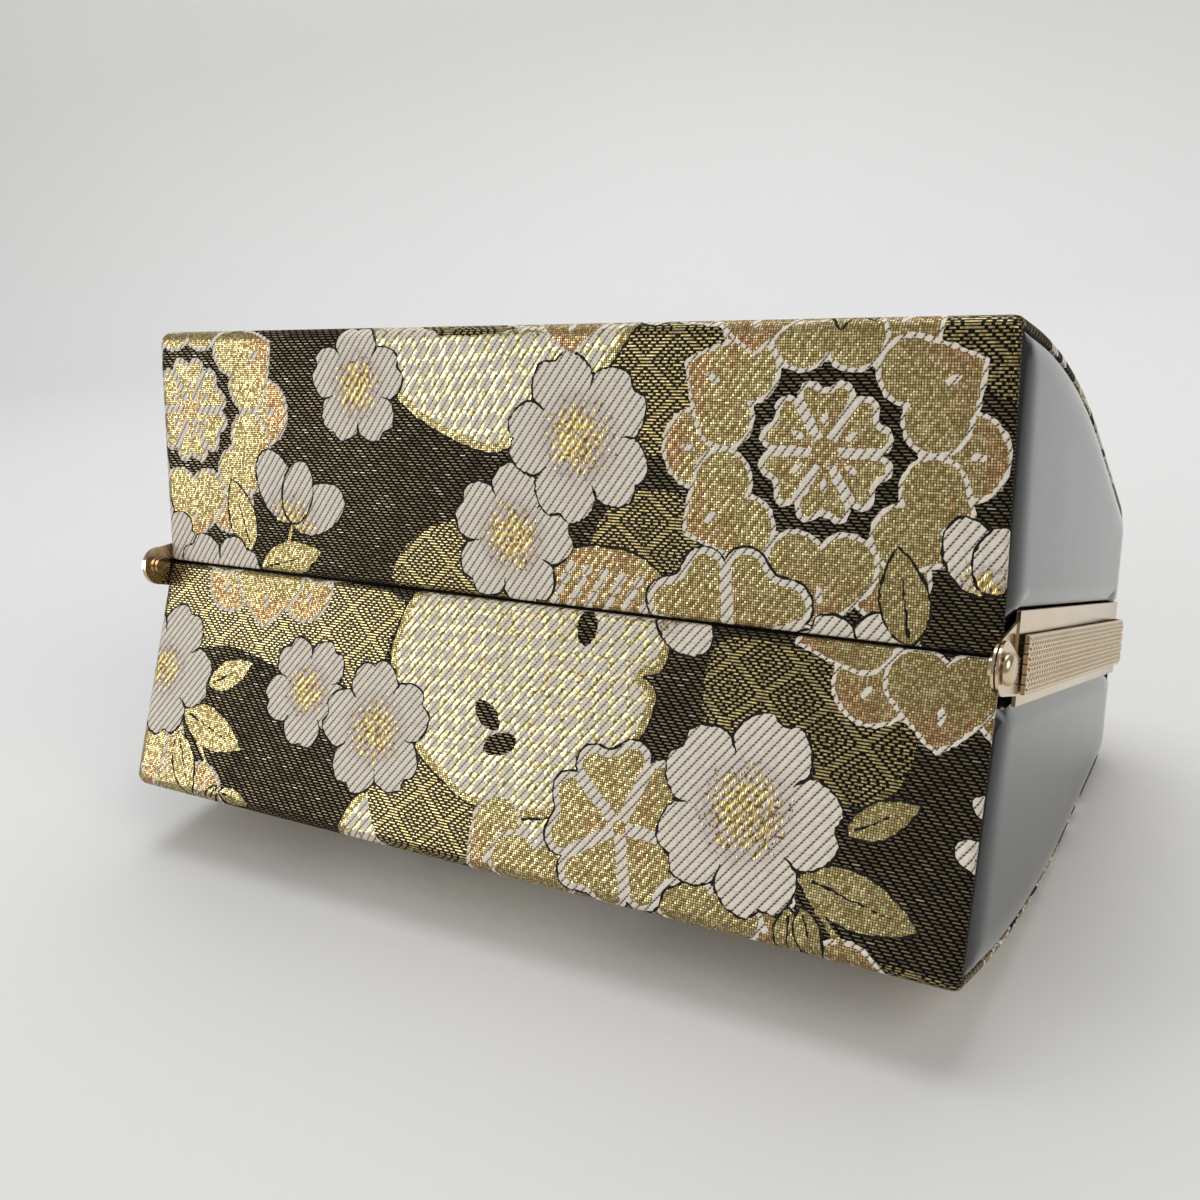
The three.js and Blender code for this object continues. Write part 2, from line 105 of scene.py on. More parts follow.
def place(points):
    """Standing millimetres (n, 3) to row metres."""
    points = np.asarray(points, float)
    y, z = lay(points[:, 1], points[:, 2])
    return np.stack([points[:, 0], y + SHIFT_Y, z + SHIFT_Z], 1) * 0.001


def add_object(name, data):
    made = bpy.data.objects.new(name, data)
    bpy.context.scene.collection.objects.link(made)
    return made


def turn(normals):
    """Standing directions (n, 3) to row directions."""
    y, z = lay(normals[:, 1], normals[:, 2])
    return np.stack([normals[:, 0], y, z], 1)


# Node graphs


class Wire:
    """A node's output, which sums can be written with."""

    def __init__(self, graph, socket):
        self.graph = graph
        self.socket = socket

    def __add__(self, other):
        return self.graph.math("ADD", self, other)

    def __sub__(self, other):
        return self.graph.math("SUBTRACT", self, other)

    def __rsub__(self, other):
        return self.graph.math("SUBTRACT", other, self)

    def __mul__(self, other):
        return self.graph.math("MULTIPLY", self, other)

    def __truediv__(self, other):
        return self.graph.math("DIVIDE", self, other)

    def __pow__(self, other):
        return self.graph.math("POWER", self, other)

    def __lt__(self, other):
        return self.graph.math("LESS_THAN", self, other)

    def __abs__(self):
        return self.graph.math("ABSOLUTE", self)


class Graph:
    """A material with one Principled shader, and short calls for its nodes."""

    def __init__(self, name):
        self.material = bpy.data.materials.new(name)
        self.material.use_nodes = True
        self.tree = self.material.node_tree
        self.shader = self.tree.nodes["Principled BSDF"]

    def feed(self, socket, value):
        if isinstance(value, Wire):
            self.tree.links.new(value.socket, socket)
        elif socket.type == "RGBA":
            socket.default_value = (*value, 1.0)
        else:
            socket.default_value = value

    def set(self, **values):
        for key, value in values.items():
            self.feed(self.shader.inputs[key.replace("_", " ")], value)

    def wire(self, kind, values, output=0, **settings):
        """One output of a new node, whose sockets are fed with values."""
        node = self.tree.nodes.new(kind)
        for key, value in settings.items():
            setattr(node, key, value)
        for key, value in values.items():
            self.feed(node.inputs[key], value)
        return Wire(self, node.outputs[output])

    def math(self, operation, *values):
        return self.wire("ShaderNodeMath", dict(enumerate(values)), operation=operation)

    def step(self, value, low, high, out_low=0.0, out_high=1.0):
        values = dict(enumerate((value, low, high, out_low, out_high)))
        return self.wire("ShaderNodeMapRange", values, interpolation_type="SMOOTHSTEP")

    def mix(self, share, first, second):
        return self.wire("ShaderNodeMix", {0: share, 6: first, 7: second}, 2, data_type="RGBA")

    def vector(self, x, y, z=0.0):
        return self.wire("ShaderNodeCombineXYZ", {0: x, 1: y, 2: z})

    def split(self, vector):
        node = self.tree.nodes.new("ShaderNodeSeparateXYZ")
        self.feed(node.inputs[0], vector)
        return [Wire(self, output) for output in node.outputs]

    def chance(self, x, y, z=0.0):
        """A random number for each cell, from whole-number coordinates."""
        values = {"Vector": self.vector(x, y, z)}
        return self.wire("ShaderNodeTexWhiteNoise", values, "Value", noise_dimensions="3D")

    def noise(self, scale, detail, vector, roughness=0.5):
        values = {"Vector": vector, "Scale": scale, "Detail": detail, "Roughness": roughness}
        return self.wire("ShaderNodeTexNoise", values, "Fac")

    def place(self):
        """Object coordinates, in metres."""
        return self.wire("ShaderNodeTexCoord", {}, "Object")

    def attribute(self, name):
        return self.split(self.wire("ShaderNodeAttribute", {}, "Vector", attribute_name=name))

    def bump(self, height, distance):
        values = {"Strength": 1.0, "Distance": distance, "Height": height}
        self.set(Normal=self.wire("ShaderNodeBump", values))


# Brocade materials. The cloth attribute holds cloth millimetres, and the motif attribute a
# point's place in its own motif: from a flower's middle, or along a petal.

RIB_ANGLE = math.radians(52)
RIB_PITCH = 1.55
THREAD = 0.52
PICK = 0.5
TICK = 0.62
ROW = 0.64
DASH = 2.2
DASH_SHIFT = 0.29
CELL_WIDTH = 14.5
CELL_HEIGHT = 13.0
RINGS = 4.0


class Cloth(Graph):
    """A brocade material, with the places and the threads that its weave is drawn from."""

    def __init__(self, name):
        super().__init__(name)
        self.x, self.y, _ = self.attribute("cloth")
        self.along, self.across, _ = self.attribute("motif")
        self.column = self.math("FLOOR", self.x / THREAD)
        self.pick = self.math("FLOOR", self.y / PICK)
        self.luck = self.chance(self.column, self.pick)

    def gaps(self, rib):
        """Dark ticks along the gaps between ribs."""
        tick = self.math("FRACT", self.y / TICK)
        tick = self.step(tick, 0.0, 0.2) * self.step(tick, 0.66, 0.86, 1.0, 0.0)
        return self.step(rib, 0.22, 0.5, 1.0, 0.0) * (tick * 0.75 + 0.25)

    def ribs(self):
        """0 in the gap between two slanting ribs, 1 on top of a rib."""
        slant = self.x * -math.sin(RIB_ANGLE) + self.y * math.cos(RIB_ANGLE)
        return abs(self.math("SINE", slant * (math.pi / RIB_PITCH)))

    def thread(self):
        """0 between two upright threads, 1 on a thread."""
        return abs(self.math("SINE", self.x * (math.pi / THREAD)))

    def wefts(self):
        """0 between two picks, 1 on a pick."""
        return abs(self.math("SINE", self.y * (math.pi / PICK)))

    def rows(self, low, high):
        """The row number and a bar along the middle of each row of dashes."""
        row = self.math("FLOOR", self.y / ROW)
        level = self.math("FRACT", self.y / ROW)
        bar = self.step(level, low, low + 0.2) * self.step(level, high - 0.2, high, 1.0, 0.0)
        return row, bar

    def weave(self):
        """0 in the dark grid between threads, 1 on the threads."""
        return self.math("MINIMUM", self.step(self.thread(), 0.08, 0.6), self.step(self.wefts(), 0.05, 0.5))

    def lame(self, copper):
        """Metal thread, each stitch with its own brightness; copper is 0 for gold and 1 for copper."""
        lit = self.luck ** 1.8
        gold = self.mix(lit, (0.29, 0.205, 0.06), (0.90, 0.78, 0.40))
        red = self.mix(lit, (0.33, 0.16, 0.065), (0.86, 0.52, 0.28))
        return self.mix(self.weave(), (0.035, 0.024, 0.009), self.mix(copper, gold, red))


def ground_material():
    """Black ground with short beige and gold dashes, shifted from row to row; a few dashes are painted pale
    as sparkle.
    """
    cloth = Cloth("brocade_ground")
    row, bar = cloth.rows(0.16, 0.72)
    phase = row * DASH_SHIFT + cloth.x / DASH
    stretch = cloth.math("FRACT", phase)
    dash = cloth.step(stretch, 0.0, 0.1) * cloth.step(stretch, 0.66, 0.8, 1.0, 0.0)
    mark = bar * dash
    luck = cloth.chance(cloth.math("FLOOR", phase), row)
    patch = cloth.noise(0.02, 2.0, cloth.vector(cloth.x, cloth.y))
    shine = mark * (luck * 0.6 + patch)
    # A few rare dashes turn pale: painted sparkle of light on the threads.
    painted_sparkle = mark * cloth.step(luck, 0.965, 0.975, 0.0, 0.6)
    colour = cloth.mix(shine, (0.004, 0.0036, 0.003), (0.28, 0.22, 0.125))
    cloth.set(
        Base_Color=cloth.mix(painted_sparkle, colour, (0.62, 0.57, 0.5)),
        Metallic=shine * 0.6,
        Roughness=cloth.step(mark, 0.0, 1.0, 0.85, 0.42),
        Specular_IOR_Level=0.06,
    )
    cloth.bump(mark, 0.00014)
    return cloth.material


def lattice_material():
    """Gold dashes on black that step from row to row round nested diamonds."""
    cloth = Cloth("brocade_lattice")
    row, bar = cloth.rows(0.08, 0.8)
    side_x = cloth.math("PINGPONG", cloth.x / CELL_WIDTH, 0.5)
    side_y = cloth.math("PINGPONG", row * (ROW / CELL_HEIGHT), 0.5)
    diamond = (side_x + side_y) * 2.0
    nested = cloth.math("MINIMUM", diamond, 2.0 - diamond)
    line = cloth.math("FRACT", nested * RINGS)
    drawn = cloth.step(line, 0.34, 0.44) * bar
    gold = cloth.mix(cloth.luck, (0.24, 0.175, 0.065), (0.66, 0.53, 0.24))
    cloth.set(
        Base_Color=cloth.mix(drawn, (0.004, 0.0036, 0.003), gold),
        Metallic=drawn * 0.9,
        Roughness=0.4,
        Specular_IOR_Level=0.08,
    )
    cloth.bump(drawn, 0.00015)
    return cloth.material


def petal_material():
    """White ribbed petals, with gold stitches thickening towards the middle and lilac round them."""
    cloth = Cloth("brocade_petal")
    rib = cloth.ribs()
    thread = cloth.thread()
    reach = cloth.math("SQRT", cloth.along ** 2.0 + cloth.across ** 2.0)
    share = cloth.step(reach, 0.3, 1.25, 0.85, 0.0)
    gold = cloth.luck < share
    lilac = cloth.step(reach, 0.85, 1.4, 0.6, 0.0)
    second = cloth.chance(cloth.pick, cloth.column, 3.0)
    white = cloth.mix(cloth.luck, (0.74, 0.665, 0.555), (0.88, 0.81, 0.70))
    stitch = cloth.mix(second, (0.42, 0.32, 0.36), (0.72, 0.64, 0.62))
    white = cloth.mix(lilac, white, stitch)
    white = cloth.mix(cloth.gaps(rib), white, (0.085, 0.065, 0.04))
    metal = cloth.mix(second, (0.10, 0.06, 0.02), (0.72, 0.56, 0.23))
    cloth.set(
        Base_Color=cloth.mix(gold, white, metal),
        Metallic=gold * 0.55,
        Roughness=cloth.step(gold, 0.0, 1.0, 0.62, 0.34),
        Specular_IOR_Level=0.3,
        Sheen_Weight=0.15,
        Sheen_Roughness=0.4,
    )
    height = thread * 0.15 + rib ** 0.6
    height = gold * second * 0.5 + height
    cloth.bump(height, 0.0003)
    return cloth.material


def gold_material():
    """Metal-thread areas, turning from gold to copper along each motif."""
    cloth = Cloth("brocade_gold")
    drift = cloth.noise(0.12, 2.0, cloth.vector(cloth.x, cloth.y))
    wander = (drift - 0.5) * 1.3 + cloth.along
    second = cloth.chance(cloth.pick, cloth.column, 5.0)
    wander = (second - 0.5) * 0.7 + wander
    strand = cloth.chance(cloth.column, 0.0, 11.0)
    wander = (strand - 0.5) * 0.8 + wander
    copper = cloth.step(wander, 0.3, 1.25, 0.0, 0.8)
    cloth.set(
        Base_Color=cloth.lame(copper),
        Metallic=0.5,
        Roughness=cloth.step(cloth.luck, 0.0, 1.0, 0.5, 0.3),
        Specular_IOR_Level=0.3,
    )
    height = cloth.weave() + cloth.luck * 0.5
    height = cloth.ribs() * 0.5 + height
    cloth.bump(height, 0.00014)
    return cloth.material


GRAIN_LENGTH = 5.4
GRAIN_PITCH = 3.1
GRAIN_EDGE = 2.3  # higher for smaller grains


def cloud_material():
    """Ribbed cloth with white grains in slanting rows on a glittering gold field."""
    cloth = Cloth("brocade_cloud")
    cosine, sine = math.cos(RIB_ANGLE), math.sin(RIB_ANGLE)
    along = cloth.x * cosine + cloth.y * sine
    across = cloth.x * -sine + cloth.y * cosine
    line = cloth.math("FLOOR", across / GRAIN_PITCH)
    place_along = line * 0.5 + along / GRAIN_LENGTH
    left = abs((cloth.math("FRACT", place_along) - 0.5) * GRAIN_EDGE)
    up = abs((cloth.math("FRACT", across / GRAIN_PITCH) - 0.5) * GRAIN_EDGE)
    spread = left ** 2.0 + up ** 2.0
    luck = cloth.chance(cloth.math("FLOOR", place_along), line, 2.0)
    patch = cloth.noise(0.05, 2.0, cloth.vector(cloth.x, cloth.y))
    reach = patch + luck * 0.4
    share = cloth.step(spread - reach, -0.35, 0.45, 1.0, 0.15)
    second = cloth.chance(cloth.pick, cloth.column, 7.0)
    grain = second < share
    white = cloth.mix(cloth.luck, (0.68, 0.62, 0.51), (0.84, 0.78, 0.66))
    field = cloth.mix(cloth.luck, (0.17, 0.125, 0.04), (0.90, 0.79, 0.44))
    colour = cloth.mix(grain, field, white)
    rib = cloth.ribs()
    cloth.set(
        Base_Color=cloth.mix(cloth.gaps(rib), colour, (0.12, 0.09, 0.04)),
        Metallic=(1.0 - grain) * 0.6,
        Roughness=cloth.step(grain, 0.0, 1.0, 0.36, 0.6),
        Specular_IOR_Level=0.3,
    )
    height = cloth.luck * 0.5 + rib ** 0.6
    cloth.bump(height, 0.00015)
    return cloth.material


def ink_material():
    """Black outline thread."""
    cloth = Cloth("brocade_ink")
    shade = cloth.mix(cloth.luck, (0.003, 0.003, 0.003), (0.02, 0.017, 0.014))
    cloth.set(Base_Color=shade, Roughness=0.7, Specular_IOR_Level=0.12)
    cloth.bump(cloth.thread(), 0.0001)
    return cloth.material


BROCADE = {
    "ground": ground_material(),
    "lattice": lattice_material(),
    "petal": petal_material(),
    "gold": gold_material(),
    "cloud": cloud_material(),
    "ink": ink_material(),
}
BROCADE_NAMES = list(BROCADE)

# Motifs: outlines as complex numbers in cloth millimetres, x across the bag and y up the cloth

FAR = 9.0  # motif place of plain white thread, far from any gold middle
INK_LINE = 0.5
CREAM_LINE = 0.9
STEP_LENGTH = 0.85
STEP_SIZE = 0.22


class Shape:
    """An outline, its brocade material, and the origin and axis of its motif place."""

    def __init__(self, points, material, origin=0j, axis=1 + 0j, fixed=None):
        self.points = points
        self.material = material
        self.origin = origin
        self.axis = axis
        self.fixed = fixed

    def motif(self, points):
        if self.fixed is not None:
            return np.full(points.shape, self.fixed, complex)
        return (points - self.origin) / self.axis


def rough(points, dice):
    """The outline stepped from thread to thread, as a weave draws it."""
    kept = []
    for p in points:
        if not kept or abs(p - kept[-1]) > STEP_LENGTH / 2:
            kept.append(p)
    stepped = []
    for a, b in zip(kept, kept[1:] + kept[:1]):
        count = max(1, round(abs(b - a) / STEP_LENGTH))
        stepped += [a + (b - a) * i / count for i in range(count)]
    return [p + complex(dice.uniform(-1, 1), dice.uniform(-1, 1)) * STEP_SIZE for p in stepped]


def covers(points, spots):
    """Which spots lie inside an outline."""
    start = np.array(points)
    run = np.roll(start, -1) - start
    level = spots.imag[:, None]
    crossed = (start.imag <= level) != (start.imag + run.imag <= level)
    slope = run.real / np.where(run.imag == 0, 1, run.imag)
    where = start.real + (level - start.imag) * slope
    return (crossed & (where > spots.real[:, None])).sum(1) % 2 == 1


def white(points):
    """Plain white thread."""
    return Shape(points, "petal", fixed=FAR)


def polar(length, degrees):
    return cmath.rect(length, math.radians(degrees))


def spin(points, degrees, centre=0j):
    """Points turned about the origin, then moved to the centre."""
    turning = polar(1.0, degrees)
    return [centre + point * turning for point in points]


def ring(count, radius, centre=0j, start=0.0):
    step = 2 * math.pi / count
    return [centre + cmath.rect(radius, start + step * i) for i in range(count)]


def oval(centre, half_length, half_width, degrees, count=18):
    points = [complex(half_length * p.real, half_width * p.imag) for p in ring(count, 1.0)]
    return spin(points, degrees, centre)


def signed_area(points):
    return 0.5 * sum((a.conjugate() * b).imag for a, b in zip(points, points[1:] + points[:1]))


def offset(points, distance):
    """An outline moved outwards along its corner normals."""
    outward = -1j if signed_area(points) > 0 else 1j
    moved = []
    for before, point, after in zip(points[-1:] + points[:-1], points, points[1:] + points[:1]):
        along = after - before
        moved.append(point + distance * outward * along / max(abs(along), 1e-6))
    return moved


def smooth(points, steps=6):
    """A closed curve through the points."""
    count = len(points)
    curve = []
    for i in range(count):
        p0, p1, p2, p3 = (points[(i + k) % count] for k in (-1, 0, 1, 2))
        for step in range(steps):
            t = step / steps
            curve.append(
                0.5
                * (
                    2 * p1
                    + (p2 - p0) * t
                    + (2 * p0 - 5 * p1 + 4 * p2 - p3) * t * t
                    + (3 * p1 - p0 - 3 * p2 + p3) * t ** 3
                )
            )
    return curve


def petal_outline(reach, width=0.42, notch=0.1, grow=0.0, count=36):
    """A notched petal along +x from the middle of its flower."""
    points = []
    for i in range(count):
        angle = 2 * math.pi * i / count - math.pi
        dent = notch * math.exp(-((angle / 0.24) ** 2))
        taper = 1 - 0.42 * max(0.0, -math.cos(angle)) ** 1.3
        x = 0.6 * reach + ((0.4 - dent) * reach + grow) * math.cos(angle)
        y = (width * reach * taper + grow) * math.sin(angle)
        points.append(complex(x, y))
    return points


def blossom(centre, reach, start, core, petals=5):
    """A white blossom with a gold middle, with painted shade as short dark lines in the valleys between its
    petals.
    """
    turns = [start + 360 / petals * k for k in range(petals)]
    shapes = [Shape(spin(petal_outline(reach, grow=INK_LINE), a, centre), "ink") for a in turns]
    for a in turns:
        shapes.append(Shape(spin(petal_outline(reach), a, centre), "petal", centre, core))
    shapes.append(Shape(ring(20, 0.5 * reach, centre), "petal", centre, core))
    # Short black ink lines in the valleys between the petals: painted shade between the petals.
    for a in turns:
        seam = [0.56 * reach - 0.12j, 0.78 * reach - 0.4j, 0.78 * reach + 0.4j, 0.56 * reach + 0.12j]
        shapes.append(Shape(spin(seam, a + 180 / petals, centre), "ink"))
    return shapes


def wedge_outline(reach, spread, notch=0.14):
    """A petal along +x that narrows to a point at the middle of its flower."""
    half = math.radians(spread)
    points = [0.04 * reach + 0j]
    for i in range(21):
        share = i / 10 - 1
        dent = notch * math.exp(-((share / 0.3) ** 2)) + 0.2 * abs(share) ** 5
        points.append(cmath.rect(reach * (1 - dent), share * half))
    return points


def wedge_flower(centre, reach, turns, spread, border):
    """Gold wedge petals bordered in white thread; each turns to copper towards the middle."""
    outline = wedge_outline(reach, spread)
    shapes = [white(spin(outline, a, centre)) for a in turns]
    shapes.append(white(ring(24, 0.72 * reach, centre)))
    for a in turns:
        axis = polar(-0.8 * reach, a)
        origin = centre + polar(0.8 * reach, a)
        shapes.append(Shape(spin(offset(outline, -border), a, centre), "gold", origin, axis))
    return shapes


def gold_blossom(centre, reach, start):
    """A gold blossom whose petals are outlined in white thread."""
    turns = [start + 72 * k for k in range(5)]
    outline = offset(wedge_outline(reach, BLOSSOM_SPREAD), INK_LINE)
    shapes = [Shape(spin(outline, a, centre), "ink") for a in turns]
    shapes += wedge_flower(centre, reach, turns, BLOSSOM_SPREAD, 1.5)
    shapes.append(Shape(ring(12, 1.6, centre), "gold", fixed=0.9))
    return shapes


HEART_DISTANCE = 21.5
LOBE_DISTANCE = 26.5
LOBE_RADIUS = 7.6
ROSETTE_REACH = 14.0
ROSETTE_SPREAD = 30.6
BLOSSOM_SPREAD = 36.6


def heart_outline(grow=0.0):
    """A heart-shaped petal: lobes round the origin, tip along +x."""
    lobe = 5.8 + grow
    spacing = 5.1
    tip = 12.0 + 1.2 * grow
    cleft = math.atan2(-spacing, -math.sqrt(lobe ** 2 - spacing ** 2)) + 2 * math.pi
    arc = [cleft + (0.62 - cleft) * i / 14 for i in range(15)]
    upper = [complex(0, spacing) + cmath.rect(lobe, a) for a in arc]
    last = upper[-1]
    bend = complex(8.6 + 0.6 * grow, 5.2 + 0.5 * grow)
    for i in range(1, 9):
        t = i / 8
        upper.append((1 - t) ** 2 * last + 2 * t * (1 - t) * bend + t * t * complex(tip, 0))
    lower = [p.conjugate() for p in reversed(upper[1:-1])]
    return upper + lower


def heart(centre, degrees, distance=HEART_DISTANCE):
    """A gold heart edged in white, with a white eye near its tip."""
    origin = centre + polar(distance, degrees)
    axis = polar(9.0, degrees)
    eye = oval(origin + 0.66 * axis, 1.7, 0.8, degrees, 12)
    return [
        white(spin(heart_outline(CREAM_LINE), degrees, origin)),
        Shape(spin(heart_outline(), degrees, origin), "gold", origin, axis),
        white(eye),
    ]


def medallion(centre, start=30.0):
    """A ring of hearts round a small rosette, with a round lobe behind each gap."""
    shapes = [Shape(ring(24, 23.0, centre), "ground")]
    turns = [start + 60 * k for k in range(6)]
    for a in turns:
        spot = centre + polar(LOBE_DISTANCE, a + 30)
        axis = polar(8.0, a + 30)
        shapes.append(white(ring(22, LOBE_RADIUS + CREAM_LINE, spot)))
        shapes.append(Shape(ring(22, LOBE_RADIUS, spot), "gold", spot - 0.45 * axis, axis))
        shapes.append(white(oval(spot + 0.3 * axis, 1.5, 0.8, a + 30, 10)))
    for a in turns:
        shapes += heart(centre, a)
    shapes += wedge_flower(centre, ROSETTE_REACH, turns, ROSETTE_SPREAD, 1.2)
    for a in turns:
        shapes.append(white(oval(centre + polar(6.2, a), 1.5, 0.7, a, 10)))
    shapes.append(Shape(ring(14, 2.8, centre), "gold", fixed=0.75))
    return shapes


def leaf(base, tip, width=0.43):
    """A gold leaf with a dark vein."""
    axis = tip - base
    length = abs(axis)
    degrees = math.degrees(cmath.phase(axis))
    half = [complex(length * t, 0.5 * width * length * math.sin(math.pi * t ** 0.85) ** 0.85)
            for t in (i / 12 for i in range(13))]
    outline = half + [p.conjugate() for p in reversed(half[1:-1])]
    vein = [complex(0.1 * length, -0.3), complex(0.82 * length, 0), complex(0.1 * length, 0.3)]
    return [
        Shape(offset(spin(outline, degrees, base), INK_LINE), "ink"),
        Shape(spin(outline, degrees, base), "gold", fixed=-0.7),
        Shape(spin(vein, degrees, base), "ink"),
    ]


def stem(start, stop, bow=1.5, thick=0.5):
    """A bowed gold stem."""
    middle = 0.5 * (start + stop) + 1j * (stop - start) / abs(stop - start) * bow
    shares = [i / 8 for i in range(9)]
    curve = [(1 - t) ** 2 * start + 2 * t * (1 - t) * middle + t * t * stop for t in shares]
    side = [1j * (b - a) / abs(b - a) * thick for a, b in zip(curve, curve[1:])]
    side.append(side[-1])
    outline = [p + s for p, s in zip(curve, side)] + [p - s for p, s in reversed(list(zip(curve, side)))]
    return [Shape(outline, "gold", fixed=-0.5)]


def bud(base, tip, width=0.62):
    """A white bud with a gold and lilac foot."""
    axis = tip - base
    outline = oval(base + 0.52 * axis, 0.5 * abs(axis), 0.5 * width * abs(axis),
                   math.degrees(cmath.phase(axis)), 20)
    return [
        Shape(offset(outline, INK_LINE), "ink"),
        Shape(outline, "petal", base, 0.42 * abs(axis)),
    ]


def cloud(points, inset=1.8, holes=()):
    """A grained cloud with a gold edge, and oval holes that show the ground."""
    outline = smooth(points, 5)
    shapes = [
        Shape(offset(outline, INK_LINE), "ink"),
        Shape(outline, "gold", fixed=-0.6),
        Shape(offset(outline, -inset), "cloud", fixed=0.0),
    ]
    for centre, half_length, half_width, degrees in holes:
        shapes.append(Shape(oval(centre, half_length, half_width, degrees, 12), "ground"))
    return shapes


# The cloth as it lies on the bottom of the bag, above and below the crease

REPEAT = 122.0


def upper_cloth():
    shapes = []
    for patch in (
        [-31 + 0j, -24 + 13j, -4 + 18j, 6 + 8j, 2 + 0j],
        [24 + 12j, 30 + 24j, 44 + 26j, 52 + 17j, 46 + 10j],
        [32 + 34j, 30 + 62j, 60 + 62j, 50 + 40j],
        [88 + 62j, 112 + 62j, 112 + 44j],
    ):
        shapes.append(Shape(smooth(patch, 4), "lattice"))
    copper = smooth([4 + -3j, 8 + 8j, 22 + 13.5j, 36 + 12j, 44 + 3j, 36 + -6j], 5)
    shapes.append(Shape(offset(copper, INK_LINE), "ink"))
    shapes.append(Shape(copper, "gold", fixed=0.8))
    for row in range(4):
        for column in range(6):
            spot = complex(14 + 4.2 * column + 1.4 * row, 1.2 + 2.6 * row - 0.5 * column)
            shapes.append(white(oval(spot, 1.6, 1.0, 40, 10)))
    shapes += medallion(75.1 + 35.3j)
    shapes += medallion(-99.4 + 40.2j)
    shapes += cloud(
        [-38 + 63j, -36 + 55j, -30 + 45j, -21 + 38.5j, -6 + 33j, 2 + 34j, 10 + 40j, 22 + 46j,
         29 + 53j, 34 + 60j, 40 + 70j, 26 + 80j, 6 + 77j, -16 + 80j, -32 + 73j],
        holes=((-15.8 + 59.7j, 2.4, 1.9, 20),),
    )
    shapes += blossom(-41.75 + 46.9j, 14.4, 18, 6.9)
    shapes += blossom(2.6 + 14.4j, 16.5, 8, 7.6)
    shapes += blossom(20.0 + 36.4j, 18.5, 38, 8.4)
    shapes += gold_blossom(56.1 + -4.6j, 21.5, 58)
    shapes += leaf(-79 + 5j, -85.2 + 23j, 0.48)
    shapes += leaf(-76 + 0.5j, -55 + 6.6j)
    shapes += blossom(-114 + 4j, 15.0, 20, 5.0)
    shapes += blossom(-91.0 + -8.5j, 18.5, 54, 6.0)
    shapes += blossom(84.0 + -9.5j, 16.5, 62, 6.0)
    shapes += leaf(93.2 + 0j, 90.3 + 18.2j, 0.5)
    shapes += stem(-64 + 13.5j, -68 + 5j, 1.0)
    for tip in (-73.5 + 30j, -47.5 + 20.5j, -60 + 28j):
        shapes += bud(-64.5 + 13j, tip, 0.62)
    for tip in (101 + 24j, 110 + 23j):
        shapes += bud(107 + 11j, tip, 0.7)
    return shapes


def lower_cloth():
    shapes = []
    for patch in (
        [-108 + -1j, -108 + -24j, -84 + -20j, -62 + -24j, -38 + -26j, -30 + -12j, -34 + -1j],
        [-30 + -42j, -22 + -62j, 6 + -62j, 12 + -46j, -8 + -38j],
        [54 + -4j, 58 + -28j, 90 + -30j, 96 + -14j, 76 + -4j],
    ):
        shapes.append(Shape(smooth(patch, 4), "lattice"))
    shapes += medallion(-72.4 + 19.9j)
    shapes += medallion(100.7 + 15.5j)
    shapes += cloud(
        [-25 + -1j, -29 + -12j, -28.5 + -20j, -24 + -30j, -19.5 + -35.5j, -12 + -40.5j, 0 + -46j,
         19 + -45.5j, 34 + -36j, 41 + -21.5j, 41.5 + -15j, 38 + -12.5j, 42.5 + -10.5j, 43 + -1.5j,
         36 + 6j, 20 + 3j, 0 + 7j, -16 + 4j],
        holes=((23.1 + -3.9j, 4.0, 2.6, 90), (0.5 + -26j, 4.4, 2.4, -35), (5.0 + -31.8j, 4.6, 2.5, 20)),
    )
    shapes += blossom(-54.1 + -27.9j, 14.0, 54, 6.0)
    shapes += blossom(-31.1 + -33.9j, 16.5, 29, 7.6)
    for spot, degrees in ((18 + -46j, -90), (-116 + -42j, -60), (60 + -46j, -90)):
        for turning in (-48, 48, 0):
            shapes += heart(spot, degrees + turning, 10.0)
    for base, tip in ((-88.5 + -31j, -74 + -23.5j), (-96 + -38.5j, -73.5 + -45.5j),
                      (-96.5 + -44.5j, -89 + -60.5j), (86 + -36j, 99 + -28.5j), (78 + -45.5j, 101.5 + -51j),
                      (76.5 + -52j, 77.5 + -64j), (79 + -51.5j, 83.5 + -62j),
                      (-80 + -56j, -84 + -62j), (-78.5 + -57j, -68.5 + -58.5j)):
        shapes += leaf(base, tip)
    shapes += stem(-99 + -36j, -82 + -55j, 2.0)
    shapes += stem(78 + -46j, 93 + -60j, -2.0)
    shapes += blossom(-105.6 + -28.5j, 18.0, -7, 6.5)
    shapes += gold_blossom(37.6 + -44.0j, 18.5, 33)
    shapes += blossom(64.9 + -36.0j, 20.5, 0, 9.2)
    for base, tip in ((40 + 3j, 52 + -5j), (114 + -28j, 108.5 + -26j), (114 + -37j, 106.5 + -34.5j)):
        shapes += bud(base, tip, 0.7)
    return shapes


def moved(shapes, distance):
    """The same shapes further up the cloth."""
    return [
        Shape([p + 1j * distance for p in s.points], s.material, s.origin + 1j * distance, s.axis, s.fixed)
        for s in shapes
    ]


# Brocade sheets

RIM_START = 108.0
RIM_ROLL = 2.0
RIM_FLAT = 0.5
RIM_WALL = 1.3
RIM_EDGE = RIM_START + RIM_ROLL * math.pi / 2 + RIM_FLAT
CLOTH_EDGE = RIM_EDGE + RIM_WALL
ROLL_RADIUS = 1.2
SLIT_HALF = 0.35
SLIT_DEPTH = 1.6
CLOTH_SEED = 7
EDGE_ROW = 8  # the profile's first row past the base
BASE_RIM = 0.35  # how far the rims turn in along the base, as a share of their turn on the face
CUT_MERGE = 1e-5  # points this near become one


def arc(d, z, radius, start, stop, steps):
    return [
        (d + radius * math.cos(a), z + radius * math.sin(a), math.cos(a), math.sin(a))
        for a in np.linspace(start, stop, steps + 1)
    ]


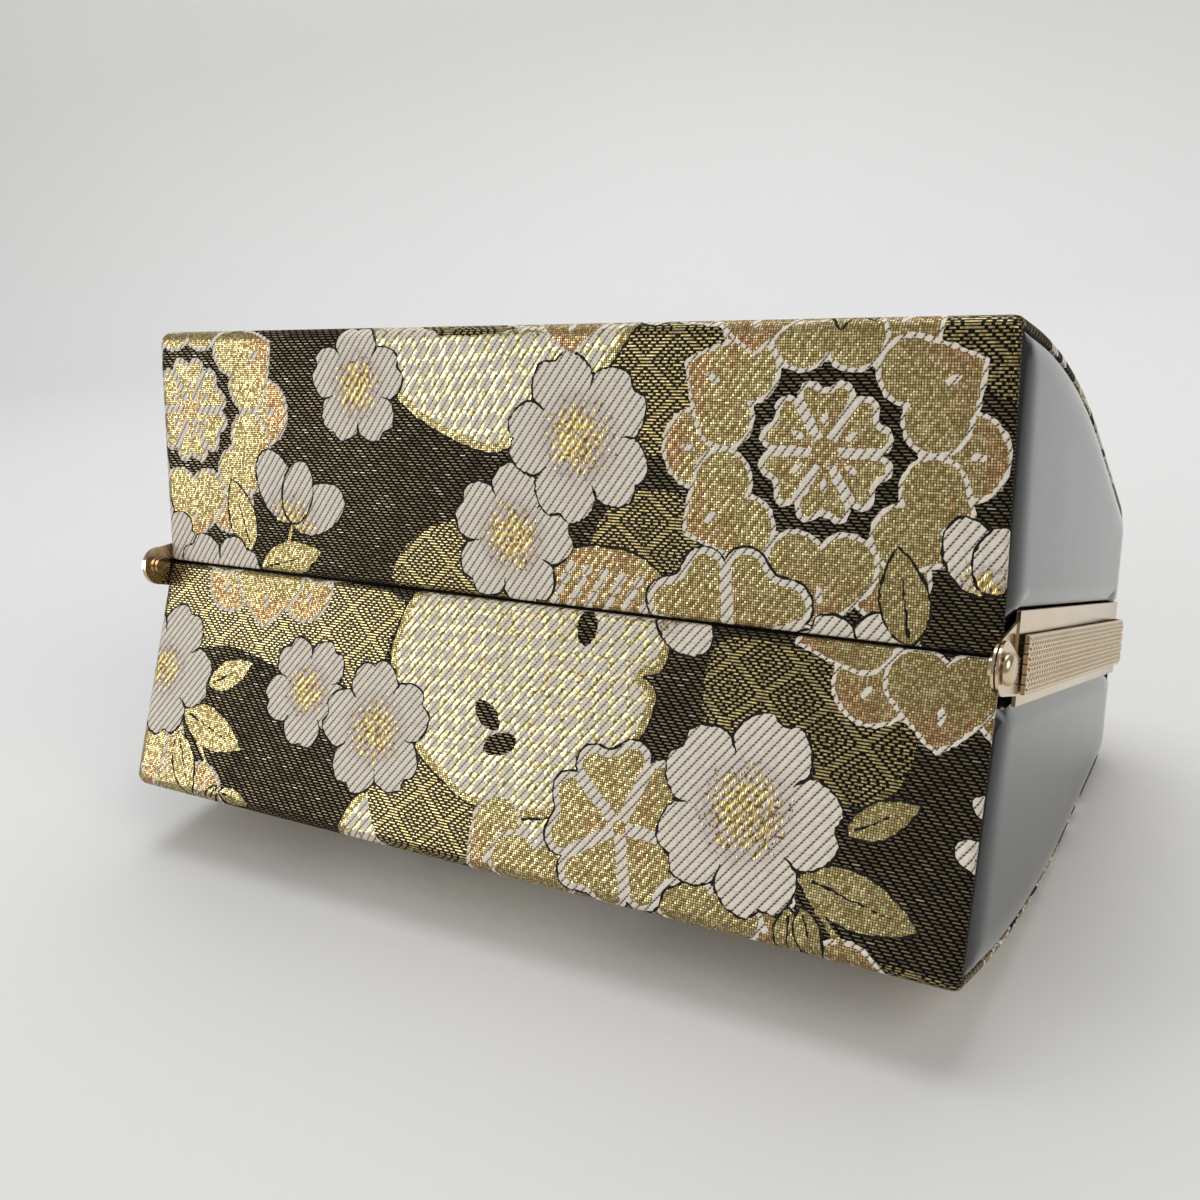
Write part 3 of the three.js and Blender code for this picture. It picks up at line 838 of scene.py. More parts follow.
def outline_arcs(inset, smoothness=1):
    """The half's outline from the bottom fold to the top: (depth, height, normal) rows."""
    edge = max(EDGE_RADIUS - inset, FIT)
    edge_depth = HALF_DEPTH - inset - edge
    edge_height = (
        CREASE_RISE
        - edge_depth * math.tan(BASE_SLOPE)
        + (inset + edge) / math.cos(BASE_SLOPE)
    )
    face_centre = HALF_DEPTH - FACE_RADIUS
    shoulder = SHOULDER_RADIUS - inset
    shoulder_height = BODY_HEIGHT - SHOULDER_RADIUS
    reach = FACE_RADIUS - SHOULDER_RADIUS - (shoulder_height - FACE_START) * math.sin(FACE_SWEEP)
    shoulder_depth = face_centre + reach / math.cos(FACE_SWEEP)
    return (
        arc(edge_depth, edge_height, edge, -math.pi / 2 - BASE_SLOPE, 0, 6 * smoothness)
        + arc(face_centre, FACE_START, FACE_RADIUS - inset, 0, FACE_SWEEP, 12 * smoothness)
        + arc(shoulder_depth, shoulder_height, shoulder, FACE_SWEEP, math.pi / 2, 8 * smoothness)
    )


def base_height(depth, inset=0.0):
    return CREASE_RISE - depth * math.tan(BASE_SLOPE) + inset / math.cos(BASE_SLOPE)


def cloth_profile():
    """Rows of (depth, height, normal) and the cloth length v at each, from the crease to the top."""
    centre = SLIT_HALF + ROLL_RADIUS
    level = base_height(centre, ROLL_RADIUS)
    roll = arc(centre, level, ROLL_RADIUS, -math.pi, -math.pi / 2 - BASE_SLOPE, 6)
    start = [(SLIT_HALF, level + SLIT_DEPTH, -1.0, 0.0)]
    rows = np.array(start + roll + outline_arcs(0.0) + [(SHELL_EDGE, BODY_HEIGHT, 0.0, 1.0)])
    steps = np.hypot(np.diff(rows[:, 0]), np.diff(rows[:, 1]))
    length = np.concatenate([[0.0], np.cumsum(steps)])
    touch = len(start) + len(roll) - 1
    length += rows[touch, 0] / math.cos(BASE_SLOPE) - length[touch]
    return rows, length


def cut_cloth(domain, outlines, cuts):
    """Flat points, triangles, and the number of each triangle's topmost outline, 0 for none."""
    points, lines = [], []
    for loop in [domain] + outlines:
        base, count = len(points), len(loop)
        lines += [(base + i, base + (i + 1) % count) for i in range(count)]
        points += loop
    for ends in cuts:
        lines.append((len(points), len(points) + 1))
        points += ends
    spots = [Vector((p.real, p.imag)) for p in points]
    verts, _, triangles, _, _, _ = delaunay_2d_cdt(spots, lines, [], 0, CUT_MERGE, False)
    flat = np.array([complex(v.x, v.y) for v in verts])
    corners = np.array(triangles)
    corners = corners[covers(domain, flat[corners].sum(1) / 3)]
    middles = flat[corners].sum(1) / 3
    top = np.zeros(len(corners), int)
    for number, outline in enumerate(outlines, 1):
        spread = np.array(outline)
        near = (middles.real > spread.real.min()) & (middles.real < spread.real.max())
        near &= (middles.imag > spread.imag.min()) & (middles.imag < spread.imag.max())
        near = np.nonzero(near)[0]
        top[near[covers(outline, middles[near])]] = number
    needed, corners = np.unique(corners, return_inverse=True)
    return flat[needed], corners.reshape(-1, 3), top


def bend_cloth(flat, rows, length, side):
    """Standing points and normals of flat cloth, bent over the profile and in round both rims."""
    over = np.clip(np.abs(flat.real) - RIM_START, 0, None)
    bend = np.clip(over / RIM_ROLL, 0, math.pi / 2)
    past = over - RIM_ROLL * math.pi / 2
    wall = np.clip(past - RIM_FLAT, 0, None)
    rolled = RIM_START + RIM_ROLL * np.sin(bend) - wall
    x = np.where(over > 0, rolled, np.abs(flat.real)) * np.sign(flat.real)
    depth, height, lean_y, lean_z = (np.interp(flat.imag, length, rows[:, k]) for k in range(4))
    base_end = rows[EDGE_ROW, 0]
    tight = np.interp(flat.imag, [base_end + 1, base_end + 6], [BASE_RIM, 1.0])
    inset = (RIM_ROLL * (1 - np.cos(bend)) + np.clip(past, 0, RIM_FLAT)) * tight
    size = np.hypot(lean_y, lean_z)
    lean = np.stack([0 * x, side * lean_y / size, lean_z / size], 1)
    spots = np.stack([x, side * depth, height], 1) - inset[:, None] * lean
    out = np.stack([np.sign(flat.real), 0 * x, 0 * x], 1)
    normals = np.cos(bend)[:, None] * lean + np.sin(bend)[:, None] * out
    return spots, np.where((wall > 0.01)[:, None], -lean, normals)


def add_vectors(mesh, name, domain, points):
    """A vector attribute from complex numbers."""
    points = np.ravel(points)
    vectors = np.stack([points.real, points.imag, 0 * points.real], 1)
    mesh.attributes.new(name, "FLOAT_VECTOR", domain).data.foreach_set("vector", vectors.ravel())


def brocade(name, body, node, side, flange, shapes):
    """The brocade of one half, cut flat along its motifs and stretched over the board."""
    rows, length = cloth_profile()
    first, last = length[0], length[-1]
    notch = last - (flange + FIT - SHELL_EDGE)
    corner = HALF_WIDTH - FRAME_CORNER
    edge = CLOTH_EDGE
    domain = [
        complex(-edge, first), complex(edge, first), complex(edge, notch), complex(corner, notch),
        complex(corner, last), complex(-corner, last), complex(-corner, notch), complex(-edge, notch),
    ]
    used, outlines = [], []
    dice = random.Random(CLOTH_SEED)
    for shape in shapes:
        # On the back the cloth runs down from the crease, so its y is turned over
        outline = [complex(p.real, -side * p.imag) for p in rough(shape.points, dice)]
        heights = [p.imag for p in outline]
        if max(heights) > first and min(heights) < last:
            used.append(shape)
            outlines.append(outline)
    rolls = [RIM_START + RIM_ROLL * math.pi / 2 * k / 4 for k in range(5)] + [RIM_EDGE]
    cuts = [(complex(-edge, v), complex(edge, v)) for v in length[1:-1]]
    cuts += [(complex(s * r, first), complex(s * r, last)) for r in rolls for s in (-1, 1)]
    flat, corners, top = cut_cloth(domain, outlines, cuts)
    spots, normals = bend_cloth(flat, rows, length, side)
    if side > 0:
        corners = corners[:, ::-1]

    mesh = bpy.data.meshes.new(name)
    mesh.from_pydata(place(spots).tolist(), [], corners.tolist())
    for material in BROCADE.values():
        mesh.materials.append(material)
    cloth = flat.real - 1j * side * flat.imag
    slots = np.zeros(len(corners), int)
    motif = np.zeros(corners.shape, complex)
    for number, shape in enumerate(used, 1):
        mine = top == number
        if mine.any():
            slots[mine] = BROCADE_NAMES.index(shape.material)
            motif[mine] = shape.motif(cloth[corners[mine]])
    mesh.polygons.foreach_set("material_index", slots)
    mesh.polygons.foreach_set("use_smooth", np.ones(len(corners), bool))
    add_vectors(mesh, "cloth", "POINT", cloth)
    add_vectors(mesh, "motif", "CORNER", motif)
    mesh.normals_split_custom_set_from_vertices(turn(normals).tolist())
    piece = add_object(name, mesh)
    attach(piece, body)
    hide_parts(node)
    width, height = 0.002 * edge, 0.001 * (last - first)
    width * height - 2e-6 * (edge - corner) * (last - notch)


def repeats(*strips):
    """The shapes of several strips of cloth, each moved up by a number of repeats."""
    return [shape for strip, count in strips for shape in moved(strip(), count * REPEAT)]


front_shapes = repeats((lower_cloth, 2), (upper_cloth, 0), (lower_cloth, 1), (upper_cloth, 1))
back_shapes = repeats((upper_cloth, -1), (lower_cloth, -1), (upper_cloth, -2), (lower_cloth, 0))
brocade("front_brocade_cloth", "front_half", "front_brocade", -1, FRONT_FLANGE, front_shapes)
brocade("back_brocade_cloth", "back_half", "back_brocade", 1, BACK_FLANGE, back_shapes)

# Metal, enamel, lining and board


def metal_material():
    graph = Graph("champagne_gold")
    where = graph.place()
    cloudy = graph.noise(60.0, 3.0, where)
    fine = graph.noise(2600.0, 2.0, where)
    colour = graph.mix(cloudy, (0.70, 0.53, 0.33), (0.80, 0.64, 0.43))
    graph.set(
        Base_Color=colour, Metallic=1.0, Roughness=graph.step(cloudy, 0.3, 0.7, 0.14, 0.24),
        Coat_Weight=0.15, Coat_Roughness=0.08,
    )
    graph.bump(fine, 0.00001)
    return graph.material


def enamel_material():
    graph = Graph("black_enamel")
    where = graph.place()
    dust = graph.noise(900.0, 3.0, where, 0.7)
    wave = graph.noise(28.0, 2.0, where)
    colour = graph.mix(dust, (0.004, 0.004, 0.0045), (0.012, 0.012, 0.013))
    graph.set(
        Base_Color=colour, Roughness=graph.step(dust, 0.45, 0.8, 0.1, 0.2), IOR=1.5,
        Coat_Weight=0.5, Coat_Roughness=0.04,
    )
    graph.bump(wave, 0.00025)
    return graph.material


def board_material():
    graph = Graph("fibre_board")
    where = graph.place()
    fibre = graph.noise(420.0, 5.0, where, 0.65)
    graph.set(Base_Color=graph.mix(fibre, (0.36, 0.28, 0.18), (0.55, 0.45, 0.32)), Roughness=0.9)
    graph.bump(fibre, 0.0001)
    return graph.material


LINING_WARP = 9000.0  # radians a metre
LINING_WEFT = 7000.0


def lining_material():
    """Fine black satin with a faint cross weave."""
    graph = Graph("black_lining")
    where = graph.place()
    x, y, z = graph.split(where)
    warp = graph.math("SINE", x * LINING_WARP)
    weft = graph.math("SINE", (y + z) * LINING_WEFT)
    weave = warp * weft
    worn = graph.noise(35.0, 3.0, where)
    graph.set(
        Base_Color=graph.mix(worn, (0.011, 0.011, 0.012), (0.024, 0.023, 0.025)),
        Roughness=graph.step(worn, 0.3, 0.7, 0.42, 0.6),
        Sheen_Weight=0.35,
        Sheen_Roughness=0.35,
    )
    graph.bump(weave, 0.00004)
    return graph.material


def leather_material():
    graph = Graph("black_leather")
    where = graph.place()
    values = {"Vector": where, "Scale": 900.0}
    cells = graph.wire("ShaderNodeTexVoronoi", values, "Distance", feature="DISTANCE_TO_EDGE")
    grain = graph.step(cells, 0.0, 0.25)
    worn = graph.noise(60.0, 4.0, where)
    graph.set(
        Base_Color=graph.mix(worn, (0.006, 0.006, 0.0065), (0.017, 0.016, 0.016)),
        Roughness=graph.step(worn, 0.3, 0.75, 0.2, 0.36),
        Coat_Weight=0.3,
        Coat_Roughness=0.1,
    )
    graph.bump(grain, 0.00006)
    return graph.material


def stitch_material():
    graph = Graph("black_thread")
    twist = graph.noise(2500.0, 2.0, graph.place())
    graph.set(Base_Color=graph.mix(twist, (0.01, 0.01, 0.01), (0.05, 0.048, 0.046)), Roughness=0.6)
    graph.bump(twist, 0.00004)
    return graph.material


STROKE_ROW = 0.95
STROKE_PITCH = 2.1


def embossed_material():
    """Gold punched with rows of short slanting strokes, with painted shade in their hollows."""
    graph = Graph("embossed_gold")
    along, across, _ = graph.attribute("strip")
    fine = graph.noise(60.0, 3.0, graph.place())
    level = across / STROKE_ROW
    row = graph.math("FLOOR", level)
    height = graph.math("FRACT", level)
    lean = graph.math("PINGPONG", row, 1.0) * 2.0 - 1.0
    slant = lean * height * 0.6
    stroke = graph.math("FRACT", along / STROKE_PITCH + slant)
    stroke = graph.step(stroke, 0.0, 0.16) * graph.step(stroke, 0.34, 0.5, 1.0, 0.0)
    inside = graph.step(height, 0.1, 0.28) * graph.step(height, 0.72, 0.9, 1.0, 0.0)
    # The stroke hollows take a dark brown colour: painted shade in the punched strokes.
    shaded_hollow = stroke * inside
    plate = graph.mix(fine, (0.72, 0.55, 0.35), (0.82, 0.66, 0.45))
    graph.set(
        Base_Color=graph.mix(shaded_hollow, plate, (0.20, 0.125, 0.06)),
        Metallic=1.0,
        Roughness=graph.step(shaded_hollow, 0.0, 1.0, 0.22, 0.5),
    )
    graph.bump(1.0 - shaded_hollow, 0.0002)
    return graph.material


METAL = metal_material()
EMBOSSED = embossed_material()
ENAMEL = enamel_material()
BOARD = board_material()
LINING = lining_material()
LEATHER = leather_material()
STITCH = stitch_material()


def soften_group(name, degrees):
    """Joins a CAD node's split corners and shades it smooth, except over edges sharper than degrees."""
    group = bpy.data.node_groups.new(name, "GeometryNodeTree")
    group.interface.new_socket("Geometry", in_out="INPUT", socket_type="NodeSocketGeometry")
    group.interface.new_socket("Geometry", in_out="OUTPUT", socket_type="NodeSocketGeometry")
    add = group.nodes.new
    link = group.links.new
    source, result = add("NodeGroupInput"), add("NodeGroupOutput")
    bare = add("GeometryNodeRemoveAttribute")
    bare.inputs["Name"].default_value = "custom_normal"
    merged = add("GeometryNodeMergeByDistance")
    merged.inputs["Distance"].default_value = 1e-5
    faces = add("GeometryNodeSetShadeSmooth")
    edges = add("GeometryNodeSetShadeSmooth")
    edges.domain = "EDGE"
    edges.inputs["Shade Smooth"].default_value = False
    angle = add("GeometryNodeInputMeshEdgeAngle")
    sharp = add("FunctionNodeCompare")
    sharp.operation = "GREATER_THAN"
    sharp.inputs[1].default_value = math.radians(degrees)
    link(source.outputs[0], bare.inputs[0])
    link(bare.outputs[0], merged.inputs[0])
    link(merged.outputs[0], faces.inputs[0])
    link(faces.outputs[0], edges.inputs[0])
    link(angle.outputs[0], sharp.inputs[0])
    link(sharp.outputs[0], edges.inputs["Selection"])
    link(edges.outputs[0], result.inputs[0])
    return group


SOFTEN = soften_group("soften", 32)
SOFTEN_ROUND = soften_group("soften_round", 60)
FINISHES = {"gold_metal": METAL, "board": BOARD, "enamel": ENAMEL}
for node in frame["nodes"].values():
    finish = FINISHES.get(node.data.materials[0].name)
    if finish is not None:
        node.data.materials[0] = finish
        soften = node.modifiers.new("soften", "NODES")
        soften.node_group = SOFTEN_ROUND if "rivet" in node.name or "knob" in node.name else SOFTEN

BEVEL_WIDTH = 0.00016
BEVEL_ANGLE = math.radians(40)
for name in ("back_frame", "front_frame", "handle_lug_left", "handle_lug_right"):
    bevel = frame["nodes"][name].modifiers.new("edges", "BEVEL")
    bevel.width = BEVEL_WIDTH
    bevel.segments = 2
    bevel.limit_method = "ANGLE"
    bevel.angle_limit = BEVEL_ANGLE
    bevel.harden_normals = True


def build(name, points, faces, materials, body=None, smooth_faces=True):
    """A mesh object from standing millimetres."""
    mesh = bpy.data.meshes.new(name)
    mesh.from_pydata(place(points).tolist(), [], [list(map(int, f)) for f in faces])
    for material in materials:
        mesh.materials.append(material)
    mesh.polygons.foreach_set("use_smooth", np.full(len(mesh.polygons), smooth_faces))
    mesh.validate()
    piece = add_object(name, mesh)
    if body:
        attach(piece, body)
    return piece


def grid_faces(rows, columns, start=0, closed=False, flip=False):
    """Quads over a rows by columns grid of points; closed joins the last column to the first."""
    faces = []
    for i in range(rows - 1):
        for j in range(columns if closed else columns - 1):
            after = (j + 1) % columns
            quad = [i * columns + j, i * columns + after, (i + 1) * columns + after, (i + 1) * columns + j]
            faces.append([start + k for k in (quad[::-1] if flip else quad)])
    return faces


# Black sides: padded boards wrapped in gloss black, rolled down inside the brocade's rim and the frame

PANEL_BORDER = 2.5
PANEL_LOW = 108.95
PANEL_RISE = 2.3
PANEL_ROLL = 6.5
PANEL_TUCK = 4.0
PANEL_RINGS = (0.15, 0.4, 0.8, 1.4, 2.2, 3.2, 4.6, 6.4)
PANEL_PITCH = 2.5


def half_polygon(inset):
    """The side outline of a half as (depth, height) complex numbers."""
    rows = [(SHELL_EDGE, base_height(SHELL_EDGE, inset))]
    rows += [row[:2] for row in outline_arcs(inset, 2)]
    rows.append((SHELL_EDGE, BODY_HEIGHT - inset))
    return [complex(*row) for row in rows]


def filled(outline, rings, pitch):
    """Points and triangles that fill an outline, with rings inside its edge and a grid in the middle."""
    dense = []
    for a, b in zip(outline, outline[1:] + outline[:1]):
        count = max(1, round(abs(b - a) / pitch))
        dense += [a + (b - a) * i / count for i in range(count)]
    if signed_area(dense) < 0:
        dense = dense[::-1]
    border = np.array(dense + dense[:1])
    span = np.diff(border)

    def distance(points):
        share = np.real((points[:, None] - border[None, :-1]) * np.conj(span)) / np.abs(span) ** 2
        near = border[:-1] + np.clip(share, 0, 1) * span
        return np.abs(points[:, None] - near).min(1)

    layers = [np.array(dense)]
    for ring_distance in rings:
        line = np.array(offset(dense, -ring_distance))
        layers.append(line[distance(line) > ring_distance - 0.05])
    low, high = min(p.real for p in dense), max(p.real for p in dense)
    bottom, top = min(p.imag for p in dense), max(p.imag for p in dense)
    d, z = np.meshgrid(np.arange(low, high, pitch), np.arange(bottom, top, pitch))
    middle = (d + 1j * z).ravel()
    middle = middle[covers(dense, middle)]
    layers.append(middle[distance(middle) > rings[-1] + 0.5 * pitch])
    everything = np.concatenate(layers)
    points = [Vector((p.real, p.imag)) for p in everything]
    face = [list(range(len(dense)))]
    verts, _, triangles, _, _, origins = delaunay_2d_cdt(points, [], face, 0, 1e-5, True)
    kept = [t for t, o in zip(triangles, origins) if o]
    flat = np.array([complex(v.x, v.y) for v in verts])
    return flat, np.array(kept), distance(flat)


def side_panel(label, body, side, hand, flange):
    """A padded side that rolls down to its edge, and to the frame's flange."""
    flat, triangles, inward = filled(half_polygon(PANEL_BORDER), PANEL_RINGS, PANEL_PITCH)
    inward = np.minimum(inward, PANEL_TUCK * np.clip(flat.real - flange - FIT, 0, None))
    share = np.clip(inward / PANEL_ROLL, 0, 1)
    x = hand * (PANEL_LOW + PANEL_RISE * np.sqrt(1 - (1 - share) ** 2))
    points = np.stack([x, side * flat.real, flat.imag], 1)
    if side * hand < 0:
        triangles = triangles[:, ::-1]
    name = label + "_side_panel_" + ("right" if hand > 0 else "left")
    piece = build(name + "_wrap", points, triangles, [ENAMEL], body)
    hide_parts(name)


HALVES = (("back", "back_half", 1, BACK_FLANGE), ("front", "front_half", -1, FRONT_FLANGE))
for label, body, side, flange in HALVES:
    for hand in (-1, 1):
        side_panel(label, body, side, hand, flange)

# Raised band over the parting line, with four hatched rows

BAND_MARGIN = 0.7
BAND_GROOVE = 0.3
BAND_ROWS = 4
BAND_ROW_HEIGHT = 0.25
HATCH_PITCH = 0.95
HATCH_DEPTH = 0.08
HATCH_LEAN = 0.9
BAND_STEP = 0.3
BAND_BEVEL = 0.12
BAND_EDGE = 0.7
BAND_BARE = 0.6  # plain length at each foot
BAND_FADE = 0.5  # over which the rows rise from it


def band_path():
    """Points and outward normals along the band's underside, foot to foot, with the length at each."""
    radius = FRAME_CORNER + BAND_IN
    cx, cz = HALF_WIDTH - FRAME_CORNER, BODY_HEIGHT - FRAME_CORNER
    path = []
    for z in np.arange(BAND_FOOT, cz, BAND_STEP):
        path.append((cx + radius, z, 1.0, 0.0))
    for a in np.linspace(0, math.pi / 2, 30):
        path.append((cx + radius * math.cos(a), cz + radius * math.sin(a), math.cos(a), math.sin(a)))
    for x in np.arange(cx - BAND_STEP, 0, -BAND_STEP):
        path.append((x, cz + radius, 0.0, 1.0))
    mirrored = [(-x, z, -nx, nz) for x, z, nx, nz in reversed(path)]
    path = np.array(path + mirrored)
    steps = np.hypot(np.diff(path[:, 0]), np.diff(path[:, 1]))
    return path, np.concatenate([[0.0], np.cumsum(steps)])


def band():
    """The embossed band, bent over the frame from foot to foot."""
    path, length = band_path()
    row_width = (BAND_FRONT + BAND_BACK - 2 * BAND_MARGIN - (BAND_ROWS - 1) * BAND_GROOVE) / BAND_ROWS
    stations = [(-BAND_FRONT, 0.0, 0), (-BAND_FRONT, BAND_EDGE, 0), (BAND_BEVEL - BAND_FRONT, BAND_PLATE, 0)]
    for k in range(BAND_ROWS):
        start = BAND_MARGIN - BAND_FRONT + k * (row_width + BAND_GROOVE)
        for share, rise, hatch in ((0.0, 0.0, 0), (0.06, 0.8, 0), (0.15, 1, 1), (0.38, 1, 1), (0.62, 1, 1),
                                   (0.85, 1, 1), (0.94, 0.8, 0), (1.0, 0.0, 0)):
            stations.append((start + share * row_width, BAND_PLATE + rise * BAND_ROW_HEIGHT, hatch))
    stations += [(BAND_BACK - BAND_BEVEL, BAND_PLATE, 0), (BAND_BACK, BAND_EDGE, 0), (BAND_BACK, 0.0, 0)]
    y, rise, hatch = np.array(stations).T
    ends = np.minimum(length, length[-1] - length)
    full = np.clip((ends - BAND_BARE) / BAND_FADE, 0, 1)[:, None]
    wave = 0.5 + 0.5 * np.cos(2 * math.pi * (length[:, None] + HATCH_LEAN * y[None, :]) / HATCH_PITCH)
    plate = np.minimum(rise, BAND_PLATE)
    height = plate + (rise - plate) * full - HATCH_DEPTH * hatch * wave * full
    x = path[:, 0:1] + path[:, 2:3] * height
    z = path[:, 1:2] + path[:, 3:4] * height
    points = np.stack([x, np.broadcast_to(y, x.shape), z], 2).reshape(-1, 3)
    columns = len(stations)
    faces = grid_faces(len(path), columns, closed=True)
    faces.append(list(range(columns))[::-1])
    faces.append(list(range((len(path) - 1) * columns, len(path) * columns)))
    piece = build("frame_band_embossed", points, faces, [EMBOSSED], "back_half", False)
    add_vectors(piece.data, "strip", "POINT", length[:, None] + 1j * y[None, :])
    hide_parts("frame_band")


band()

# Lining trays, the cloth over the crease inside, and the brocade fold in the crease

LINING_MIDDLE = 0.5 * (LINING_OUT + LINING_IN)
LINING_WALL = LINING_SIDE + 0.4
LINING_PITCH = 3.0
LINING_COLUMNS = 72
WRINKLE = 0.32


def lining_tray(label, body, side):
    """A half's lining: a cloth over base, face and top, and a wall at each side, a little wrinkled."""
    level = base_height(SHELL_EDGE, LINING_MIDDLE)
    start = (SHELL_EDGE, level, -math.sin(BASE_SLOPE), -math.cos(BASE_SLOPE))
    stop = (SHELL_EDGE, BODY_HEIGHT - LINING_MIDDLE, 0.0, 1.0)
    rows = np.array([start] + outline_arcs(LINING_MIDDLE) + [stop])
    dense = []
    for a, b in zip(rows[:-1], rows[1:]):
        count = max(1, round(math.hypot(b[0] - a[0], b[1] - a[1]) / LINING_PITCH))
        dense += [a + (b - a) * i / count for i in range(count)]
    rows = np.array(dense + [rows[-1]])
    x = np.linspace(-LINING_WALL, LINING_WALL, LINING_COLUMNS)
    steps = np.hypot(np.diff(rows[:, 0]), np.diff(rows[:, 1]))
    run = np.concatenate([[0.0], np.cumsum(steps)])
    across, along = np.meshgrid(x, run)
    edge = np.minimum(LINING_WALL - np.abs(across), np.minimum(along, run[-1] - along))
    ripple = np.sin(across / 9.0 + 1.7 * np.sin(along / 31.0))
    ripple = ripple * np.sin(along / 13.0 + 1.3 * np.sin(across / 24.0))
    inward = WRINKLE * (0.5 + 0.5 * ripple) * np.clip(edge / 10.0, 0, 1)
    depth = rows[:, 0:1] - inward * rows[:, 2:3]
    height = rows[:, 1:2] - inward * rows[:, 3:4]
    points = [np.stack([across, side * depth, height], 2).reshape(-1, 3)]
    faces = grid_faces(len(rows), len(x), flip=side < 0)
    outline = [complex(r[0], r[1]) for r in rows]
    flat, triangles, inset = filled(outline, (1.0, 3.0), 5.0)
    wall_area = 0.0
    for hand in (-1, 1):
        start = sum(len(p) for p in points)
        ripple = np.sin(flat.real / 7.0 + flat.imag / 15.0) * np.sin(flat.imag / 11.0)
        wall = hand * (LINING_WALL - WRINKLE * (0.5 + 0.5 * ripple) * np.clip(inset / 8.0, 0, 1))
        points.append(np.stack([wall, side * flat.real, flat.imag], 1))
        order = triangles if side * hand < 0 else triangles[:, ::-1]
        faces += (order + start).tolist()
        wall_area += abs(signed_area(outline))
    piece = build(label + "_lining_tray", np.concatenate(points), faces, [LINING], body)
    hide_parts(label + "_lining")
    reach = max(r[0] for r in rows) - SHELL_EDGE
    wide, long = 2 * (LINING_WALL + reach), run[-1]
    area = 2 * LINING_WALL * run[-1] + wall_area
    0.001 * wide
    0.001 * long
    min(area, wide * long) * 1e-6


for label, body, side, _ in HALVES:
    lining_tray(label, body, side)

STRIP_INSET = LINING_IN + 0.6
STRIP_SOFT = 1.2
STRIP_PUCKER = 0.12
FOLD_INSET = 3.2
FOLD_HALF_LENGTH = HALF_WIDTH - 1.2
FOLD_LOOP = 0.28
FOLD_WING = (4.6, 3.6, 2.6, 1.6, 1.0, 0.6)
FOLD_LOW = 0.9


def crease_strip():
    """Lining cloth laid over the crease."""
    y = np.linspace(-STRIP_WING, STRIP_WING, 25)
    soft = np.sqrt(y ** 2 + STRIP_SOFT ** 2) - STRIP_SOFT
    x = np.linspace(-STRIP_HALF_LENGTH, STRIP_HALF_LENGTH, 120)
    across, along = np.meshgrid(y, x)
    z = np.array([base_height(d, STRIP_INSET) for d in soft])[None, :] - STRIP_PUCKER
    pucker = STRIP_PUCKER * np.sin(along / 4.3 + 0.8 * np.sin(along / 17.0)) * np.cos(across / 5.0)
    points = np.stack([along, across, z + pucker], 2).reshape(-1, 3)
    faces = grid_faces(len(x), len(y))
    piece = build("crease_lining_strip", points, faces, [LINING], None)
    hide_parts("crease_lining")
    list(crease_line(2.5, STRIP_INSET))
    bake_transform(piece)


def crease_line(half, inset):
    """Start on the back half and end on the front half, level with the crease."""
    level = base_height(0.0, inset)
    return place([(0.0, half, level), (0.0, -half, level)]).tolist()


def crease_fold():
    """The brocade's own fold in the crease: a hanging loop, with a wing glued inside each half."""
    low = base_height(SLIT_HALF + ROLL_RADIUS, ROLL_RADIUS) + FOLD_LOW
    loop = FOLD_LOOP
    half = FOLD_HALF_LENGTH
    wing = [(d, base_height(d, FOLD_INSET)) for d in FOLD_WING]
    wing += [(loop, base_height(loop, FOLD_INSET) - 0.25), (loop, low + 0.4), (loop, low)]
    turns = np.linspace(0, math.pi, 7)[1:-1]
    bottom = [(loop * math.cos(a), low - loop * math.sin(a)) for a in turns]
    rows = np.array(wing + bottom + [(-d, z) for d, z in reversed(wing)])
    y, z = rows[:, 0], rows[:, 1]
    x = np.linspace(-half, half, 90)
    across, along = np.meshgrid(y, x)
    points = np.stack([along, across, np.broadcast_to(z, across.shape)], 2).reshape(-1, 3)
    piece = build("crease_fold", points, grid_faces(len(x), len(y)), [BROCADE["ground"]], None)
    run = np.concatenate([[0.0], np.cumsum(np.hypot(np.diff(y), np.diff(z)))])
    add_vectors(piece.data, "cloth", "POINT", along + 1j * (run - run[-1] / 2))
    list(crease_line(loop, FOLD_INSET))
    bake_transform(piece)


crease_strip()
crease_fold()

# Handle: a stiff arch wrapped in black leather, sewn along its inner side

LEG_TOP = HANDLE_RISE - 0.92 * HANDLE_HALF_SPAN
CURVE_PULL = 0.56
ROUND = 22
LEATHER_GAP = 0.08
LUMPS = 0.07
SEAM_DEPTH = 0.32
SEAM_WIDTH = 0.2  # radians
STITCH_PITCH = 3.2
STITCH_SHARE = 0.62  # of the pitch
STITCH_ENDS = (20.0, 19.0)  # bare lengths at the arch's feet
STITCH_LEAN = 0.38  # radians from the seam
STITCH_SIDES = 6
STITCH_TOP = 0.02  # above the grip's radius, in the middle of a stitch
STITCH_SUNK = -0.22  # at its two ends


def handle_path():
    """Points of the arch in its own plane, foot to foot."""
    leg = [complex(-HANDLE_HALF_SPAN, z) for z in np.linspace(HANDLE_START, LEG_TOP, 30)[:-1]]
    a = complex(-HANDLE_HALF_SPAN, LEG_TOP)
    b = a + 1j * (HANDLE_RISE - LEG_TOP) * CURVE_PULL
    d = 1j * HANDLE_RISE
    c = d - HANDLE_HALF_SPAN * CURVE_PULL
    bend = [(1 - t) ** 3 * a + 3 * t * (1 - t) ** 2 * b + 3 * t * t * (1 - t) * c + t ** 3 * d
            for t in np.linspace(0, 1, 60)]
    left = leg + bend
    return np.array(left + [-p.conjugate() for p in reversed(left[:-1])])


def floor_height(y, z):
    """Height of a standing point above the floor, once the bag lies down."""
    out = (y - HALF_DEPTH + FACE_RADIUS) * math.cos(TILT) + (z - FACE_START) * math.sin(TILT)
    return FACE_RADIUS - out


